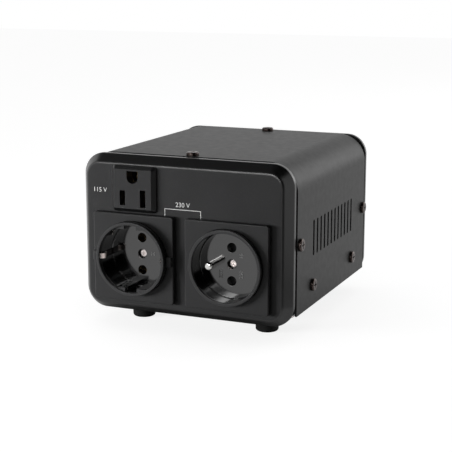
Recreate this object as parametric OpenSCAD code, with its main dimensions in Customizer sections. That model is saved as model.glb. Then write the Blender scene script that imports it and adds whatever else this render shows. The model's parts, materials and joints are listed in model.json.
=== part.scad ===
// Travel voltage converter: a mains transformer in a steel case, with one American socket and
// two European sockets on the front, and the inlet, switch and selector on the back.
// Millimetres. +Z is up, the front faces -Y, and the origin is on the floor under the middle.

/* [Case] */
// Width of the front and rear bezels
case_w = 128; // [126:0.5:150]
// Height of the bezels
case_h = 90.8; // [90:0.2:110]
// Depth between the outer edges of the two bezel lips
lip_span = 132; // [130:1:170]
// Height of the bezels' lower edge above the floor
ground_clearance = 10; // [8:0.5:14]
// Corner radius of the bezels
corner_r = 12.5; // [9:0.5:16]
// Width of the slope around the raised panel
bevel_w = 5.8; // [4.5:0.1:6.5]
// Depth of the slope around the raised panel
bevel_d = 6.5; // [5:0.1:8]
// Rounding of the raised panel's edge
roll_r = 2.5; // [1:0.1:3]
// Rounding of the bezel's lip
lip_r = 0.8; // [0.3:0.1:1.2]
// Depth of the plain band behind the lip
lip_t = 2.2; // [1.5:0.1:4]
// Thickness of the moulded panel
panel_t = 2.6; // [2:0.1:3.5]
// Wall of the spigot that carries the cover
spigot_t = 2.6; // [2:0.1:3]
// Length of the spigot behind the lip
spigot_len = 12; // [11:0.5:16]
// Radius of the screw bosses
boss_r = 3.5; // [3:0.1:4]
// Length of the screw bosses
boss_len = 9; // [8:0.5:11]
// Depth by which a boss sinks into the spigot's wall
boss_sink = 0.8; // [0.4:0.1:1.2]
// Reach of the bezel's inside past the flat panel
pocket_reach = 1.2; // [0.8:0.1:1.4]

/* [Cover and tray] */
// Thickness of the cover's sheet steel
sheet_t = 1; // [0.8:0.1:1.5]
// Outer bend radius of the cover
bend_r = 16.5; // [15:0.5:20]
// Height by which the cover stands proud of the bezels
cover_step = 0.25; // [0:0.05:0.8]
// Shadow gap between a lip and the cover
cover_gap = 2; // [1:0.1:3]
// Height of the cover's lower edge above the bezels' lower edge
cover_drop = 5.6; // [4:0.1:7]
// Thickness of the base tray
tray_t = 1.2; // [1:0.1:1.6]
// Height of the tray's underside above the cover's lower edge
tray_lift = 0.4; // [0:0.1:1]
// Height of the tray's side flanges
flange_h = 20; // [18:0.5:30]
// Outer bend radius of the tray
tray_bend_r = 2.4; // [1.8:0.1:4]
// Gap between parts that seat in each other
seat_gap = 0.15; // [0.1:0.05:0.25]
// Gap between a spigot and the tray's flanges
flange_gap = 2; // [1:0.1:3]

/* [Vents] */
// Number of vent slots on each side
vent_count = 12; // [6:1:13]
// Distance from slot to slot
vent_pitch = 6.3; // [5:0.1:6.5]
// Width of a slot
vent_w = 2.4; // [1.6:0.1:3]
// Height of a slot
vent_h = 20.6; // [12:0.2:26]
// Height of the slots' middle above the floor
vent_z = 55; // [53:0.5:62]

/* [Fasteners] */
// Radius of the case screws' shanks
screw_r = 1.45; // [1.2:0.05:1.6]
// Radius of the case screws' heads
screw_head_r = 3.6; // [3:0.1:4]
// Height of the case screws' heads
screw_head_h = 2; // [1.5:0.1:2.4]
// Radial clearance of a screw in its hole
screw_gap = 0.1; // [0.05:0.01:0.2]
// Setback of the cover's screws from the panel plane
cover_screw_back = 14.8; // [14:0.1:16]
// Height of the middle side screws above the floor
side_screw_z = 55.5; // [45:0.5:65]
// Setback of the lower side screws from the panel plane
low_screw_back = 36.2; // [33:0.2:45]
// Height of the lower side screws above the floor
low_screw_z = 28; // [25:0.5:30]
// Thickness of the nuts
nut_t = 2.4; // [2:0.1:3]
// Width of the nuts across their corners
nut_w = 6.4; // [5.8:0.1:7]
// Length of a screw past its nut, and depth left at the end of a boss
screw_tail = 1; // [0.5:0.1:1.5]
// Radius of the small screws' heads on the rear panel
small_head_r = 2.8; // [2.4:0.1:3]
// Height of the small screws' heads
small_head_h = 1.4; // [1.2:0.1:1.8]
// Length of the small screws behind the panel
small_tail = 3; // [2:0.1:4]
// Depth of a screw's cross recess
cross_d = 1; // [0.6:0.1:1.1]
// Width of the contacts' flat tabs
tab_w = 4.8; // [4:0.1:5]
// Length of the tabs behind their housings
tab_len = 6; // [5:0.1:8]

/* [Feet] */
// Radius of a rubber foot at its top
foot_top_r = 7.2; // [6.5:0.1:9]
// Radius of a rubber foot at its bottom
foot_bottom_r = 6.65; // [5.5:0.05:8]
// Rounding of a foot's lower edge
foot_round = 1.4; // [0.5:0.1:2]
// Distance of the feet from the middle plane
foot_x = 39.5; // [30:0.5:45]
// Setback of the feet from the panel plane
foot_back = 30; // [29:0.5:34]
// Radius of the recess for a foot's screw head
foot_recess_r = 3.9; // [3.7:0.1:4.4]
// Depth of that recess
foot_recess_d = 8; // [5:0.5:9]

/* [European sockets] */
// Height of both socket centres above the floor
socket_z = 43.2; // [42.8:0.1:46]
// Width of the square frame round a socket
frame_w = 50.2; // [49:0.1:52]
// Height of the square frame
frame_h = 50.4; // [48:0.1:52]
// Height of the frame above the panel
frame_proud = 3; // [2.4:0.1:4]
// Corner radius of the frame
frame_r = 1.8; // [1.2:0.1:3]
// Rounding of the frame's front edge
frame_round = 0.8; // [0.3:0.1:1]
// Radius of the four pegs that hold a frame in the panel
peg_r = 1.4; // [1:0.1:1.8]
// Distance of the pegs from the frame's edges
peg_inset = 4; // [3:0.1:4.4]
// Length of the pegs behind the panel
peg_tail = 1.2; // [0.6:0.1:2]
// Distance between the two pin holes
pin_spacing = 19; // [18.8:0.1:19.2]
// Radius of a pin hole
pin_hole_r = 2.75; // [2.6:0.05:2.9]
// Thickness of a cup's floor
cup_floor_t = 4.4; // [4.2:0.1:4.8]
// Wall of a cup behind the panel
cup_wall = 1.2; // [1:0.1:1.4]
// Gap round a cup's body, in the panel and in the rear housing
cup_gap = 0.2; // [0.1:0.05:0.3]
// Rounding of a cup's rim
rim_round = 0.45; // [0.2:0.05:0.6]
// Chamfer between a cup's wall and its floor
floor_chamfer = 0.4; // [0.3:0.1:1.2]
// Width of the shoulder that the frame holds on the panel
shoulder_w = 0.8; // [0.6:0.1:1]
// Thickness of that shoulder
shoulder_t = 1; // [0.6:0.1:1.2]
// Wall of the rear housing's skirt
skirt_t = 2.2; // [1.5:0.1:2.3]
// Depth of a rear housing's solid block
base_block_d = 12; // [11:0.2:12.6]
// Radius of the centre screws' shanks
centre_screw_r = 1.5; // [1.3:0.05:1.6]
// Radius of the centre screws' heads
centre_head_r = 2.4; // [2.2:0.1:2.8]
// Metal under the cross recess of a centre screw
centre_head_floor = 0.4; // [0.3:0.1:0.6]
// Gap round the head of a centre screw
head_gap = 0.4; // [0.3:0.1:0.6]
// Thickness of contact and earth strips
strip_t = 0.8; // [0.6:0.05:1]
// Inner radius of a contact sleeve
sleeve_r = 2.45; // [2.4:0.01:2.6]
// Setback of the contact sleeves in the rear housing
sleeve_setback = 5; // [3:0.1:6]
// Wall of the rear housing behind a contact sleeve
sleeve_end = 1.2; // [0.8:0.1:1.6]
// Width of the slit in a contact sleeve
slit_w = 0.8; // [0.5:0.1:1.2]

/* [Left socket] */
// Place of its centre across the case
schuko_x = -29.2; // [-31:0.1:-29]
// Inner radius of its cup
schuko_cup_r = 19.5; // [19.3:0.1:19.7]
// Radius of the cup's rim outside
schuko_rim_r = 21.3; // [20.7:0.1:21.5]
// Height of the rim above the panel
schuko_rim_proud = 7.6; // [6.4:0.1:8.4]
// Depth of the cup from its rim to its floor
schuko_depth = 16; // [14:0.1:16.4]
// Depth of the centre screw's head below the cup's floor
schuko_screw_recess = 1.9; // [1.4:0.1:2.4]
// Height of the guide flats at the top and bottom of the cup
flat_h = 2.5; // [1.5:0.1:2.8]
// Width of the notch in the middle of a guide flat
flat_notch = 7.4; // [6:0.1:9]
// Setback of the guide flats from the rim
flat_setback = 1.2; // [0.8:0.1:2]
// Width of the two raised pads beside the cup
ear_w = 5.2; // [3:0.1:6]
// Height of the pads above the frame
ear_rise = 1.8; // [1:0.1:2.4]
// Distance of the pads from the frame's sides
ear_inset = 0.4; // [0.4:0.1:1]
// Chamfer at the ends of the pads
ear_chamfer = 0.5; // [0.3:0.1:0.8]
// Width of an earth clip
clip_w = 3; // [2.6:0.1:4.6]
// Depth by which an earth clip sinks into the cup's wall
clip_sink = 0.6; // [0.3:0.1:0.6]
// Reach of an earth clip's bow into the cup
clip_reach = 2.4; // [1.6:0.1:2.6]
// Setback of an earth clip's tip from the rim
clip_setback = 1.4; // [1.2:0.1:2]
// Length of an earth clip's bow
clip_bow = 5.4; // [5:0.1:9]
// Gap round an earth clip in the cup
clip_gap = 0.3; // [0.2:0.05:0.4]

/* [Right socket] */
// Place of its centre across the case
french_x = 27.9; // [26.8:0.1:28.4]
// Inner radius of its cup
french_cup_r = 19.5; // [19.3:0.1:19.9]
// Radius of the cup's rim outside
french_rim_r = 21.5; // [20.9:0.1:21.7]
// Height of the rim above the panel
french_rim_proud = 6.1; // [5.4:0.1:6.4]
// Depth of the cup from its rim to its floor
french_depth = 11.2; // [10:0.1:12]
// Depth of the centre screw's head below the cup's floor
french_screw_recess = 2.4; // [1.6:0.1:2.6]
// Distance of the earth pin from the line of the pin holes
earth_pin_offset = 10; // [9.8:0.1:10.2]
// Radius of the earth pin
earth_pin_r = 2.4; // [2.3:0.05:2.5]
// Length of the earth pin in front of the cup's floor
earth_pin_len = 10.3; // [9.6:0.1:10.5]
// Rounding of the earth pin's tip
earth_tip_round = 1.6; // [1:0.1:2]
// Radius of the earth pin's tail, which goes through the floor and the housing
earth_tail_r = 2; // [1.6:0.05:2.1]
// Length of that tail behind the housing
earth_tail_len = 5; // [3:0.1:6]
// Depth of the shutter's chamber
chamber_d = 3; // [2.8:0.1:3.4]
// Radius of the post for the centre screw in that chamber
post_r = 3.2; // [3:0.1:3.3]
// Travel of the shutter
shutter_travel = 6.2; // [6:0.1:6.4]
// Gap round the shutter
shutter_gap = 0.3; // [0.2:0.05:0.4]
// Height of the shutter
shutter_h = 26.4; // [26:0.1:26.8]
// Reach of the shutter's wedges past the pin holes' line
wedge_reach = 3.4; // [3.2:0.1:3.6]
// Height of a wedge
wedge_h = 7.4; // [7:0.1:7.6]
// Thickness of a wedge's thin edge
wedge_edge = 0.7; // [0.5:0.1:0.9]
// Distance of the shutter's bar from the pin holes' line
shutter_bar_x = 3.6; // [3.5:0.1:3.8]
// Width of the shutter's bar
shutter_bar_w = 4; // [3.6:0.1:4.2]
// Length of the shutter's spring
spring_len = 10.4; // [9.4:0.1:10.8]
// Outer radius of the shutter's spring
spring_r = 1.6; // [1.4:0.1:1.7]
// Radius of the spring's wire
spring_wire = 0.25; // [0.2:0.01:0.3]
// Turns of the spring
spring_turns = 6; // [4:1:8]

/* [American socket] */
// Place of its middle across the case
us_x = -29; // [-31:0.1:-28]
// Gap between its face and the left socket's frame
us_gap = 0.9; // [0.3:0.1:1]
// Width of its bevelled face
us_w = 27.4; // [26.6:0.1:29]
// Height of its bevelled face
us_h = 26.4; // [25.6:0.1:26.8]
// Height of the face above the panel
us_proud = 3; // [2:0.1:4]
// Width of the face's bevel
us_bevel = 2.1; // [1:0.1:2.4]
// Height of the plate's upright edge below that bevel
us_skirt = 0.9; // [0.4:0.1:1.4]
// Corner radius of the flat face
us_edge_r = 0.3; // [0.2:0.1:0.6]
// Width of the body behind the panel
us_body_w = 24; // [23.4:0.1:25]
// Height of the body behind the panel
us_body_h = 22.4; // [21.8:0.1:23]
// Depth of the body behind the panel
us_body_d = 20; // [18:0.5:24]
// Wall of the body
us_wall = 1.8; // [1.4:0.1:2]
// Thickness of the face that the slots go through
us_face_t = 6; // [5:0.2:8]
// Distance between the two blade slots
us_blade_spacing = 12.7; // [12.5:0.1:12.9]
// Distance from the blade slots' line up to the earth hole
us_earth_rise = 11.9; // [11.7:0.1:12.1]
// Height of the socket's middle above the blade slots' line
us_slot_drop = 5.1; // [4.8:0.1:5.4]
// Width of the blade slots
us_slot_w = 3.4; // [2:0.1:3.6]
// Height of the live slot
us_live_h = 8.4; // [7:0.1:8.6]
// Height of the neutral slot
us_neutral_h = 9.9; // [8.6:0.1:10]
// Width of the earth hole
us_earth_w = 7; // [5:0.1:7.2]
// Thickness of the rear cap
us_cap_t = 2.5; // [2:0.1:3]
// Setback of the contacts behind the face
us_setback = 5; // [3:0.1:6]
// Gap between the leaves of a blade contact
us_jaw_gap = 1.3; // [1.1:0.1:1.5]
// Height of a blade contact
us_jaw_h = 7; // [6:0.1:7.4]
// Gap between the leaves of the earth contact
us_earth_gap = 4.2; // [3.8:0.1:4.6]
// Height of the earth contact
us_earth_jaw_h = 5; // [4.8:0.1:5.1]

/* [Inlet] */
// Place of the inlet across the case
inlet_x = -28; // [-30:0.5:-24]
// Height of the inlet's middle above the floor
inlet_z = 48; // [44:0.5:54]
// Width of the inlet's face
inlet_w = 50; // [48:0.5:52]
// Height of the inlet's face
inlet_h = 34; // [33:0.5:36]
// Height of the face above the panel
inlet_proud = 2.2; // [1.6:0.1:2.6]
// Corner radius of the face
inlet_r = 4; // [3:0.1:5]
// Rounding of the face's front edge
inlet_round = 0.6; // [0.3:0.1:1]
// Margin of the face above and below the body
inlet_margin = 2; // [1.6:0.1:2.2]
// Width of the body behind the panel
inlet_body_w = 29; // [28:0.5:31]
// Depth of the body behind the panel
inlet_body_d = 24; // [23:0.5:26]
// Width of the plug recess
recess_w = 24.4; // [24:0.1:25]
// Height of the plug recess
recess_h = 16.6; // [16:0.1:17]
// Depth of the plug recess from the face
recess_d = 17; // [16:0.5:18]
// Cut corners of the plug recess
recess_cut = 4.6; // [4:0.1:5]
// Height of the plug recess above the inlet's middle
recess_rise = 5.2; // [5:0.1:5.6]
// Distance of the outer pins from the inlet's middle
inlet_pin_x = 7; // [6.8:0.1:7.2]
// Height of the pins above or below the recess's middle
inlet_pin_z = 2; // [1.8:0.1:2.2]
// Thickness of a pin
inlet_pin_t = 2; // [1.9:0.05:2.1]
// Height of a pin
inlet_pin_h = 4; // [3.8:0.1:4.2]
// Length of a pin in the recess
inlet_pin_len = 14; // [13:0.1:15]
// Taper at a pin's tip
inlet_pin_taper = 1; // [0.6:0.1:1.4]
// Distance between the screws of the face
inlet_screw_spacing = 40; // [39:0.5:41]
// Width of the fuse drawer
drawer_w = 23.6; // [23:0.1:24.4]
// Height of the fuse drawer
drawer_h = 7.2; // [6.8:0.1:7.4]
// Depth of the fuse drawer behind the face
drawer_d = 22; // [20:0.5:23]
// Drop of the fuse drawer below the inlet's middle
drawer_drop = 10.6; // [10:0.1:11]
// Height of the drawer's grip above the panel
drawer_proud = 3.7; // [3.2:0.1:4.5]
// Gap round the drawer
drawer_gap = 0.25; // [0.2:0.05:0.3]
// Width of the flat on the drawer's grip
grip_w = 1.4; // [1:0.1:1.8]
// Slope above the drawer's grip
grip_slope = 1.2; // [0.8:0.1:1.6]
// Radius of the fuse's caps
fuse_r = 2.6; // [2.5:0.05:2.7]
// Length of the fuse
fuse_len = 20; // [19.6:0.1:20.2]
// Length of a cap
cap_len = 5.5; // [5:0.1:6]
// Wall of a cap
cap_t = 0.35; // [0.25:0.05:0.4]
// Depth of the fuse behind the panel plane
fuse_y = 8; // [6:0.1:14]
// Gap round the fuse
fuse_gap = 0.3; // [0.2:0.05:0.4]

/* [Switch] */
// Place of the switch across the case
switch_x = 26; // [22:0.5:32]
// Height of the switch's middle above the floor
switch_z = 48; // [44:0.5:54]
// Width of the switch's face
switch_w = 15; // [14.6:0.1:17]
// Height of the switch's face
switch_h = 21; // [20.6:0.1:24]
// Height of the face above the panel
switch_proud = 2; // [1.5:0.1:2.4]
// Depth of the switch's body
switch_d = 16; // [15:0.5:20]
// Corner radius of the face
switch_r = 1.5; // [1:0.1:2]
// Rounding of the face's front edge
switch_round = 0.7; // [0.3:0.1:1]
// Margin of the face round the body
switch_margin = 1; // [0.8:0.1:1.1]
// Width of the rocker
rocker_w = 10; // [9.6:0.1:10.4]
// Radius of the rocker about its pivot
rocker_r = 8.2; // [7.8:0.1:8.4]
// Depth of the pivot behind the panel plane
pivot_d = 2.4; // [2:0.1:3]
// Radius of the pivot stubs
pivot_r = 1.2; // [1:0.1:1.4]
// Running clearance of the pivot stubs
pivot_gap = 0.06; // [0.03:0.01:0.09]
// Tilt of the rocker either way, in degrees
rocker_tilt = 10; // [8:1:12]
// Slope of the rocker's two faces, in degrees
rocker_slope = 12; // [8:1:14]
// Gap round the rocker
rocker_gap = 0.3; // [0.2:0.05:0.4]
// Reach of a pivot stub into the housing
stub_reach = 0.7; // [0.5:0.1:0.8]
// Gap at the end of a pivot stub
stub_gap = 0.2; // [0.1:0.05:0.3]
// Drop of the lower terminal below the middle one
terminal_drop = 5.5; // [5:0.1:6.5]
// Depth of the terminals in the housing
terminal_seat = 4; // [3:0.1:4.4]

/* [Selector] */
// Place of the selector across the case
selector_x = 26; // [22:0.5:32]
// Height of the selector's middle above the floor
selector_z = 76; // [72:0.5:80]
// Width of its plate
plate_w = 36; // [35:0.5:40]
// Height of its plate
plate_h = 15; // [14.5:0.1:18]
// Thickness of its plate
plate_t = 1; // [0.8:0.1:1.5]
// Corner radius of its plate
plate_r = 2; // [1:0.1:3]
// Distance between its screws
selector_screw_spacing = 28; // [27.5:0.1:29]
// Width of its body
selector_body_w = 20; // [19.6:0.1:21]
// Height of its body
selector_body_h = 11.5; // [11:0.1:12.5]
// Depth of its body
selector_body_d = 10; // [8:0.5:14]
// Width of the slider's knob
knob_w = 6.4; // [5:0.1:6.6]
// Height of the slider's knob
knob_h = 6; // [5:0.1:6.4]
// Travel of the slider
slider_travel = 5; // [4:0.1:5.2]
// Gap round the slider
slider_gap = 0.3; // [0.2:0.05:0.35]
// Lap of the slider's shoe past the knob across
shoe_lap_x = 1.5; // [1.2:0.1:1.6]
// Lap of the slider's shoe past the knob above and below
shoe_lap_z = 0.8; // [0.6:0.1:1]
// Thickness of the slider's shoe
shoe_t = 1.5; // [1.2:0.1:2]
// Depth of the knob's face below the plate's face
knob_sink = 0.1; // [0:0.05:0.3]
// Distance between the grooves of the knob
groove_pitch = 1.8; // [1.4:0.1:2]
// Width of a groove
groove_w = 0.8; // [0.5:0.1:1]
// Depth of a groove
groove_d = 0.6; // [0.4:0.1:0.8]

/* [Transformer] */
// Width of the core
core_w = 84; // [80:1:90]
// Height of the core
core_h = 70; // [66:1:72]
// Thickness of the stack
core_t = 42; // [36:1:44]
// Width of an outer leg and of a yoke
core_leg = 14; // [13:0.5:15]
// Place of the core from front to back
core_y = -2; // [-4:0.5:0]
// Wall of the bobbin
bobbin_t = 1; // [0.8:0.1:1.2]
// Depth of the bobbin's flanges outside the stack
bobbin_reach = 12.4; // [11:0.1:13]
// Thickness of the primary winding
primary_t = 4.8; // [4:0.1:5]
// Thickness of the secondary winding
secondary_t = 5; // [4.4:0.1:5.2]
// Thickness of the tape round the windings
wrap_t = 0.6; // [0.4:0.1:0.8]
// Gap between windings and round the core
winding_gap = 0.2; // [0.1:0.05:0.25]
// Corner radius inside the primary winding
coil_round = 1; // [0.6:0.1:1.6]
// Thickness of the bracket over the core
bracket_t = 1.2; // [1:0.1:1.5]
// Width of the bracket's strap
bracket_w = 30; // [24:1:36]
// Length of the bracket's feet
bracket_foot = 13; // [12:0.5:14]
// Radius of the bracket's bolts
bolt_r = 1.9; // [1.5:0.1:2]
// Distance of the bolts past the middle of the bracket's feet
bolt_offset = 1; // [0.5:0.1:1.5]

/* [Hidden] */
$fn = 64;
eps = 0.02;
cut = 1;

// Case planes
case_z0 = ground_clearance;
case_z1 = case_z0 + case_h;
case_mid = (case_z0 + case_z1) / 2;
panel_y = lip_span / 2 + bevel_d;
middle_y = (schuko_rim_proud - drawer_proud) / 2;
lip_end = bevel_d + lip_t;
spigot_end = lip_end + spigot_len;
cover_x = case_w / 2 + cover_step;
cover_z0 = case_z0 + cover_drop;
cover_z1 = case_z1 + cover_step;
cover_y = panel_y - lip_end - cover_gap;
tray_z0 = cover_z0 + tray_lift;
tray_z1 = tray_z0 + tray_t;
tray_x = cover_x - sheet_t - seat_gap;
flange_y = panel_y - spigot_end - flange_gap;
spigot_x = tray_x;
spigot_z0 = tray_z1 + seat_gap;
spigot_z1 = cover_z1 - sheet_t - seat_gap;
spigot_r = bend_r - sheet_t - seat_gap;
boss_x = spigot_x - spigot_t - boss_r + boss_sink;
hole_r = screw_r + screw_gap;

// European sockets
schuko_body_r = schuko_cup_r + cup_wall;
schuko_floor = schuko_depth - schuko_rim_proud;
schuko_back = schuko_floor + cup_floor_t;
schuko_block = schuko_back + strip_t;
french_body_r = french_cup_r + cup_wall;
french_floor = french_depth - french_rim_proud;
french_back = french_floor + cup_floor_t;
french_block = french_back + chamber_d;
centre_head_h = cross_d + centre_head_floor;
clip_r = schuko_cup_r + clip_sink - strip_t;
clip_eye_r = centre_screw_r + screw_gap + 2 * strip_t;
shutter_x1 = shutter_bar_x + shutter_bar_w;
spring_x1 = shutter_x1 + spring_len;
spring_steps = 12;
spring_sides = 6;

// American socket
us_z = socket_z + frame_h / 2 + us_gap + us_h / 2;
us_slot_z = -us_slot_drop;
us_earth_z = us_earth_rise - us_slot_drop;
us_face_back = us_face_t - us_proud;
us_cap_front = us_body_d - us_cap_t;

// Inlet, switch and selector
inlet_body_h = inlet_h - 2 * inlet_margin;
drawer_z = -drawer_drop;
switch_body_w = switch_w - 2 * switch_margin;
switch_body_h = switch_h - 2 * switch_margin;
window_w = knob_w + slider_travel + 2 * slider_gap;
shoe_w = knob_w + 2 * shoe_lap_x;
shoe_h = knob_h + 2 * shoe_lap_z;
channel_d = shoe_t + 2 * slider_gap;

// Transformer
core_z = tray_z1;
core_mid = middle_y + core_y;
window_x = (core_w - 4 * core_leg) / 2;
tube_x = core_leg + winding_gap + bobbin_t;
tube_y = core_t / 2 + winding_gap + bobbin_t;
coil_z0 = core_z + core_leg + winding_gap + bobbin_t + winding_gap;
coil_z1 = core_z + core_h - core_leg - winding_gap - bobbin_t - winding_gap;
strap_x = core_w / 2 + winding_gap;
bolt_x = strap_x + bracket_t + bracket_foot / 2 + bolt_offset;
primary_x = tube_x + winding_gap;
secondary_x = primary_x + primary_t + winding_gap;
secondary_round = coil_round + primary_t / 2;
wrap_x = secondary_x + secondary_t + winding_gap;
wrap_round = secondary_round + secondary_t / 2;
coil_dy = tube_y - tube_x;

// Shared shapes

// Points along an arc
function arc_points(c, r, a0, a1, n) =
    [for (i = [0:n]) c + r * [cos(a0 + (a1 - a0) * i / n), sin(a0 + (a1 - a0) * i / n)]];

// Extrusion of an outline in X and Z from one depth to another
module along_y(y0, y1) {
    translate([0, y1, 0]) rotate([90, 0, 0]) linear_extrude(y1 - y0) children();
}

// Extrusion of an outline in Y and Z from one side to another
module along_x(x0, x1) {
    translate([x0, 0, 0]) rotate([90, 0, 90]) linear_extrude(x1 - x0) children();
}

// Extrusion of an outline in X and Y from one height to another
module along_z(z0, z1) {
    translate([0, 0, z0]) linear_extrude(z1 - z0) children();
}

// Revolved outline of radius and depth about the Y axis
module turned() {
    rotate([-90, 0, 0]) rotate_extrude() children();
}

// Round bar along Y
module bar_y(r, y0, y1) {
    translate([0, y0, 0]) rotate([-90, 0, 0]) cylinder(r = r, h = y1 - y0);
}

// Round bar along X
module bar_x(r, x0, x1) {
    translate([x0, 0, 0]) rotate([0, 90, 0]) cylinder(r = r, h = x1 - x0);
}

// Box from one corner to the other
module block(a, b) {
    translate(a) cube(b - a);
}

// Rectangle with round corners about the origin
module rounded(w, h, r) {
    square([w, h - 2 * r], center = true);
    square([w - 2 * r, h], center = true);
    for (sx = [-1, 1], sy = [-1, 1]) translate([sx * (w / 2 - r), sy * (h / 2 - r)]) circle(r);
}

// Flat-bottomed outline with two round upper corners
module arch(half_w, z0, z1, r) {
    translate([-half_w, z0]) square([2 * half_w, z1 - r - z0]);
    translate([r - half_w, z0]) square([2 * (half_w - r), z1 - z0]);
    for (s = [-1, 1]) translate([s * (half_w - r), z1 - r]) circle(r);
}

// Plate with round corners of radius r, whose edge follows points of radius and depth
module moulded_plate(w, h, r, edge) {
    profile = concat([[0, edge[len(edge) - 1][1]], [0, edge[0][1]]], edge);
    for (i = [0:3]) rotate([0, 90 * i, 0]) {
        half = (i % 2 == 0 ? w : h) / 2 - r;
        run = (i % 2 == 0 ? h : w) - 2 * r;
        translate([half, 0, -run / 2]) linear_extrude(run) polygon(profile);
        translate([half, 0, -run / 2]) rotate([-90, 0, 0]) rotate_extrude(angle = 90) polygon(profile);
    }
    block([r - w / 2, edge[0][1], r - h / 2], [w / 2 - r, edge[len(edge) - 1][1], h / 2 - r]);
}

// Edge of a plate that stands proud, with a rounded front edge
function round_edge(r, proud, round_r) =
    concat(arc_points([r - round_r, round_r - proud], round_r, -90, 0, 6), [[r, 0]]);

// Places on the front panel and on the rear panel, with depth along +Y of the children
module on_front(x, z) {
    translate([x, middle_y - panel_y, z]) children();
}

module on_rear(x, z) {
    translate([x, middle_y + panel_y, z]) rotate(180) children();
}

module on_both() {
    on_front(0, 0) children();
    on_rear(0, 0) children();
}

// Two places side by side, that far from the middle
module pair(x) {
    for (s = [-1, 1]) translate([s * x, 0, 0]) children();
}

// Pan head screw along -Z from the seat at the origin, with a cross recess
module pan_screw(r, head_r, head_h, length) {
    crown = head_h * 0.45;
    difference() {
        union() {
            translate([0, 0, -length]) cylinder(r = r, h = length + eps);
            rotate_extrude() polygon(concat(
                [[0, 0], [head_r, 0]],
                arc_points([head_r - crown, head_h - crown], crown, 0, 80, 5),
                [[0, head_h]]
            ));
        }
        cross_recess(head_r, head_h);
    }
}

// Cross recess in the top of a screw head
module cross_recess(head_r, top) {
    arm = head_r * 0.55;
    for (a = [0, 90]) rotate(a) translate([-arm, -head_r * 0.11, top - cross_d])
        cube([2 * arm, head_r * 0.22, cross_d + cut]);
}

// Hexagon nut standing on the origin
module hex_nut(bore) {
    difference() {
        cylinder(r = nut_w / 2, h = nut_t, $fn = 6);
        translate([0, 0, -eps]) cylinder(r = bore, h = nut_t + 2 * eps);
    }
}

// Case

// Slope of the line that touches both roundings of the bezel's edge
function bevel_angle() = let (
        run = bevel_w - lip_r,
        drop = bevel_d - roll_r
    ) atan2(drop, run) - acos((roll_r - lip_r) / sqrt(run * run + drop * drop));

function bezel_edge() = concat(
    arc_points([corner_r - bevel_w, roll_r], roll_r, -90, bevel_angle(), 8),
    arc_points([corner_r - lip_r, bevel_d], lip_r, bevel_angle(), 0, 4),
    [[corner_r, lip_end]]
);

// Bezel with its panel at depth 0, its spigot and its screw bosses
module bezel_shell() {
    inner_x = spigot_x - spigot_t;
    inset = bevel_w - pocket_reach;
    difference() {
        union() {
            translate([0, 0, case_mid]) moulded_plate(case_w, case_h, corner_r, bezel_edge());
            along_y(lip_end - lip_t / 2, spigot_end) arch(spigot_x, spigot_z0, spigot_z1, spigot_r);
        }
        translate([0, 0, (tray_z1 + case_z1 - inset) / 2]) along_y(panel_t, lip_end)
            rounded(case_w - 2 * inset, case_z1 - inset - tray_z1, corner_r - inset);
        along_y(lip_end - eps, spigot_end + eps)
            arch(inner_x, tray_z1 - cut, spigot_z1 - spigot_t, spigot_r - spigot_t);
        bezel_screw_places() translate([0, 0, eps - boss_len]) cylinder(r = hole_r, h = boss_len);
    }
    bezel_bosses();
}

// Bosses of the bezel, cut to the spigot's outline
module bezel_bosses() {
    difference() {
        intersection() {
            bezel_screw_places() translate([0, 0, -boss_len]) cylinder(r = boss_r, h = boss_len);
            along_y(lip_end, spigot_end) arch(spigot_x, spigot_z0, spigot_z1, spigot_r);
        }
        bezel_screw_places() translate([0, 0, eps - boss_len]) cylinder(r = hole_r, h = boss_len);
    }
}

// Places of the screws in a bezel, with +Z pointing out of the case
module bezel_screw_places() {
    translate([0, cover_screw_back, spigot_z1]) children();
    for (s = [-1, 1]) {
        translate([s * spigot_x, cover_screw_back, side_screw_z]) rotate([0, s * 90, 0]) children();
        translate([s * boss_x, cover_screw_back, spigot_z0]) rotate([180, 0, 0]) children();
    }
}

// Openings in the panel for the round body of a socket and for its frame's pegs
module socket_opening(x, body_r) {
    translate([x, 0, socket_z]) {
        bar_y(body_r + cup_gap, -cut, panel_t + cut);
        peg_places() bar_y(peg_r + seat_gap, -cut, panel_t + cut);
    }
}

// Opening in the panel for a square body
module square_opening(w, h) {
    along_y(-cut, panel_t + cut) square([w + 2 * seat_gap, h + 2 * seat_gap], center = true);
}

module front_bezel() {
    color([0.13, 0.13, 0.14]) on_front(0, 0) difference() {
        bezel_shell();
        socket_opening(schuko_x, schuko_body_r);
        socket_opening(french_x, french_body_r);
        translate([us_x, 0, us_z]) square_opening(us_body_w, us_body_h);
    }
}

module rear_bezel() {
    color([0.13, 0.13, 0.14]) on_rear(0, 0) difference() {
        bezel_shell();
        translate([-inlet_x, 0, inlet_z]) {
            square_opening(inlet_body_w, inlet_body_h);
            pair(inlet_screw_spacing / 2) bar_y(hole_r, -cut, panel_t + cut);
        }
        translate([-switch_x, 0, switch_z]) square_opening(switch_body_w, switch_body_h);
        translate([-selector_x, 0, selector_z]) {
            square_opening(selector_body_w, selector_body_h);
            pair(selector_screw_spacing / 2) bar_y(hole_r, -cut, panel_t + cut);
        }
    }
}

// Slot with round ends, through the sheet at the origin along X
module vent_slot() {
    run = vent_h - vent_w;
    along_x(-2 * sheet_t, 2 * sheet_t) {
        square([vent_w, run], center = true);
        for (s = [-1, 1]) translate([0, s * run / 2]) circle(vent_w / 2);
    }
}

// The four places of the lower side screws, with +Z pointing out of the case
module low_screw_places(x) {
    for (s = [-1, 1], e = [-1, 1])
        translate([s * x, middle_y + e * (panel_y - low_screw_back), low_screw_z])
            rotate([0, s * 90, 0]) children();
}

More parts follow.
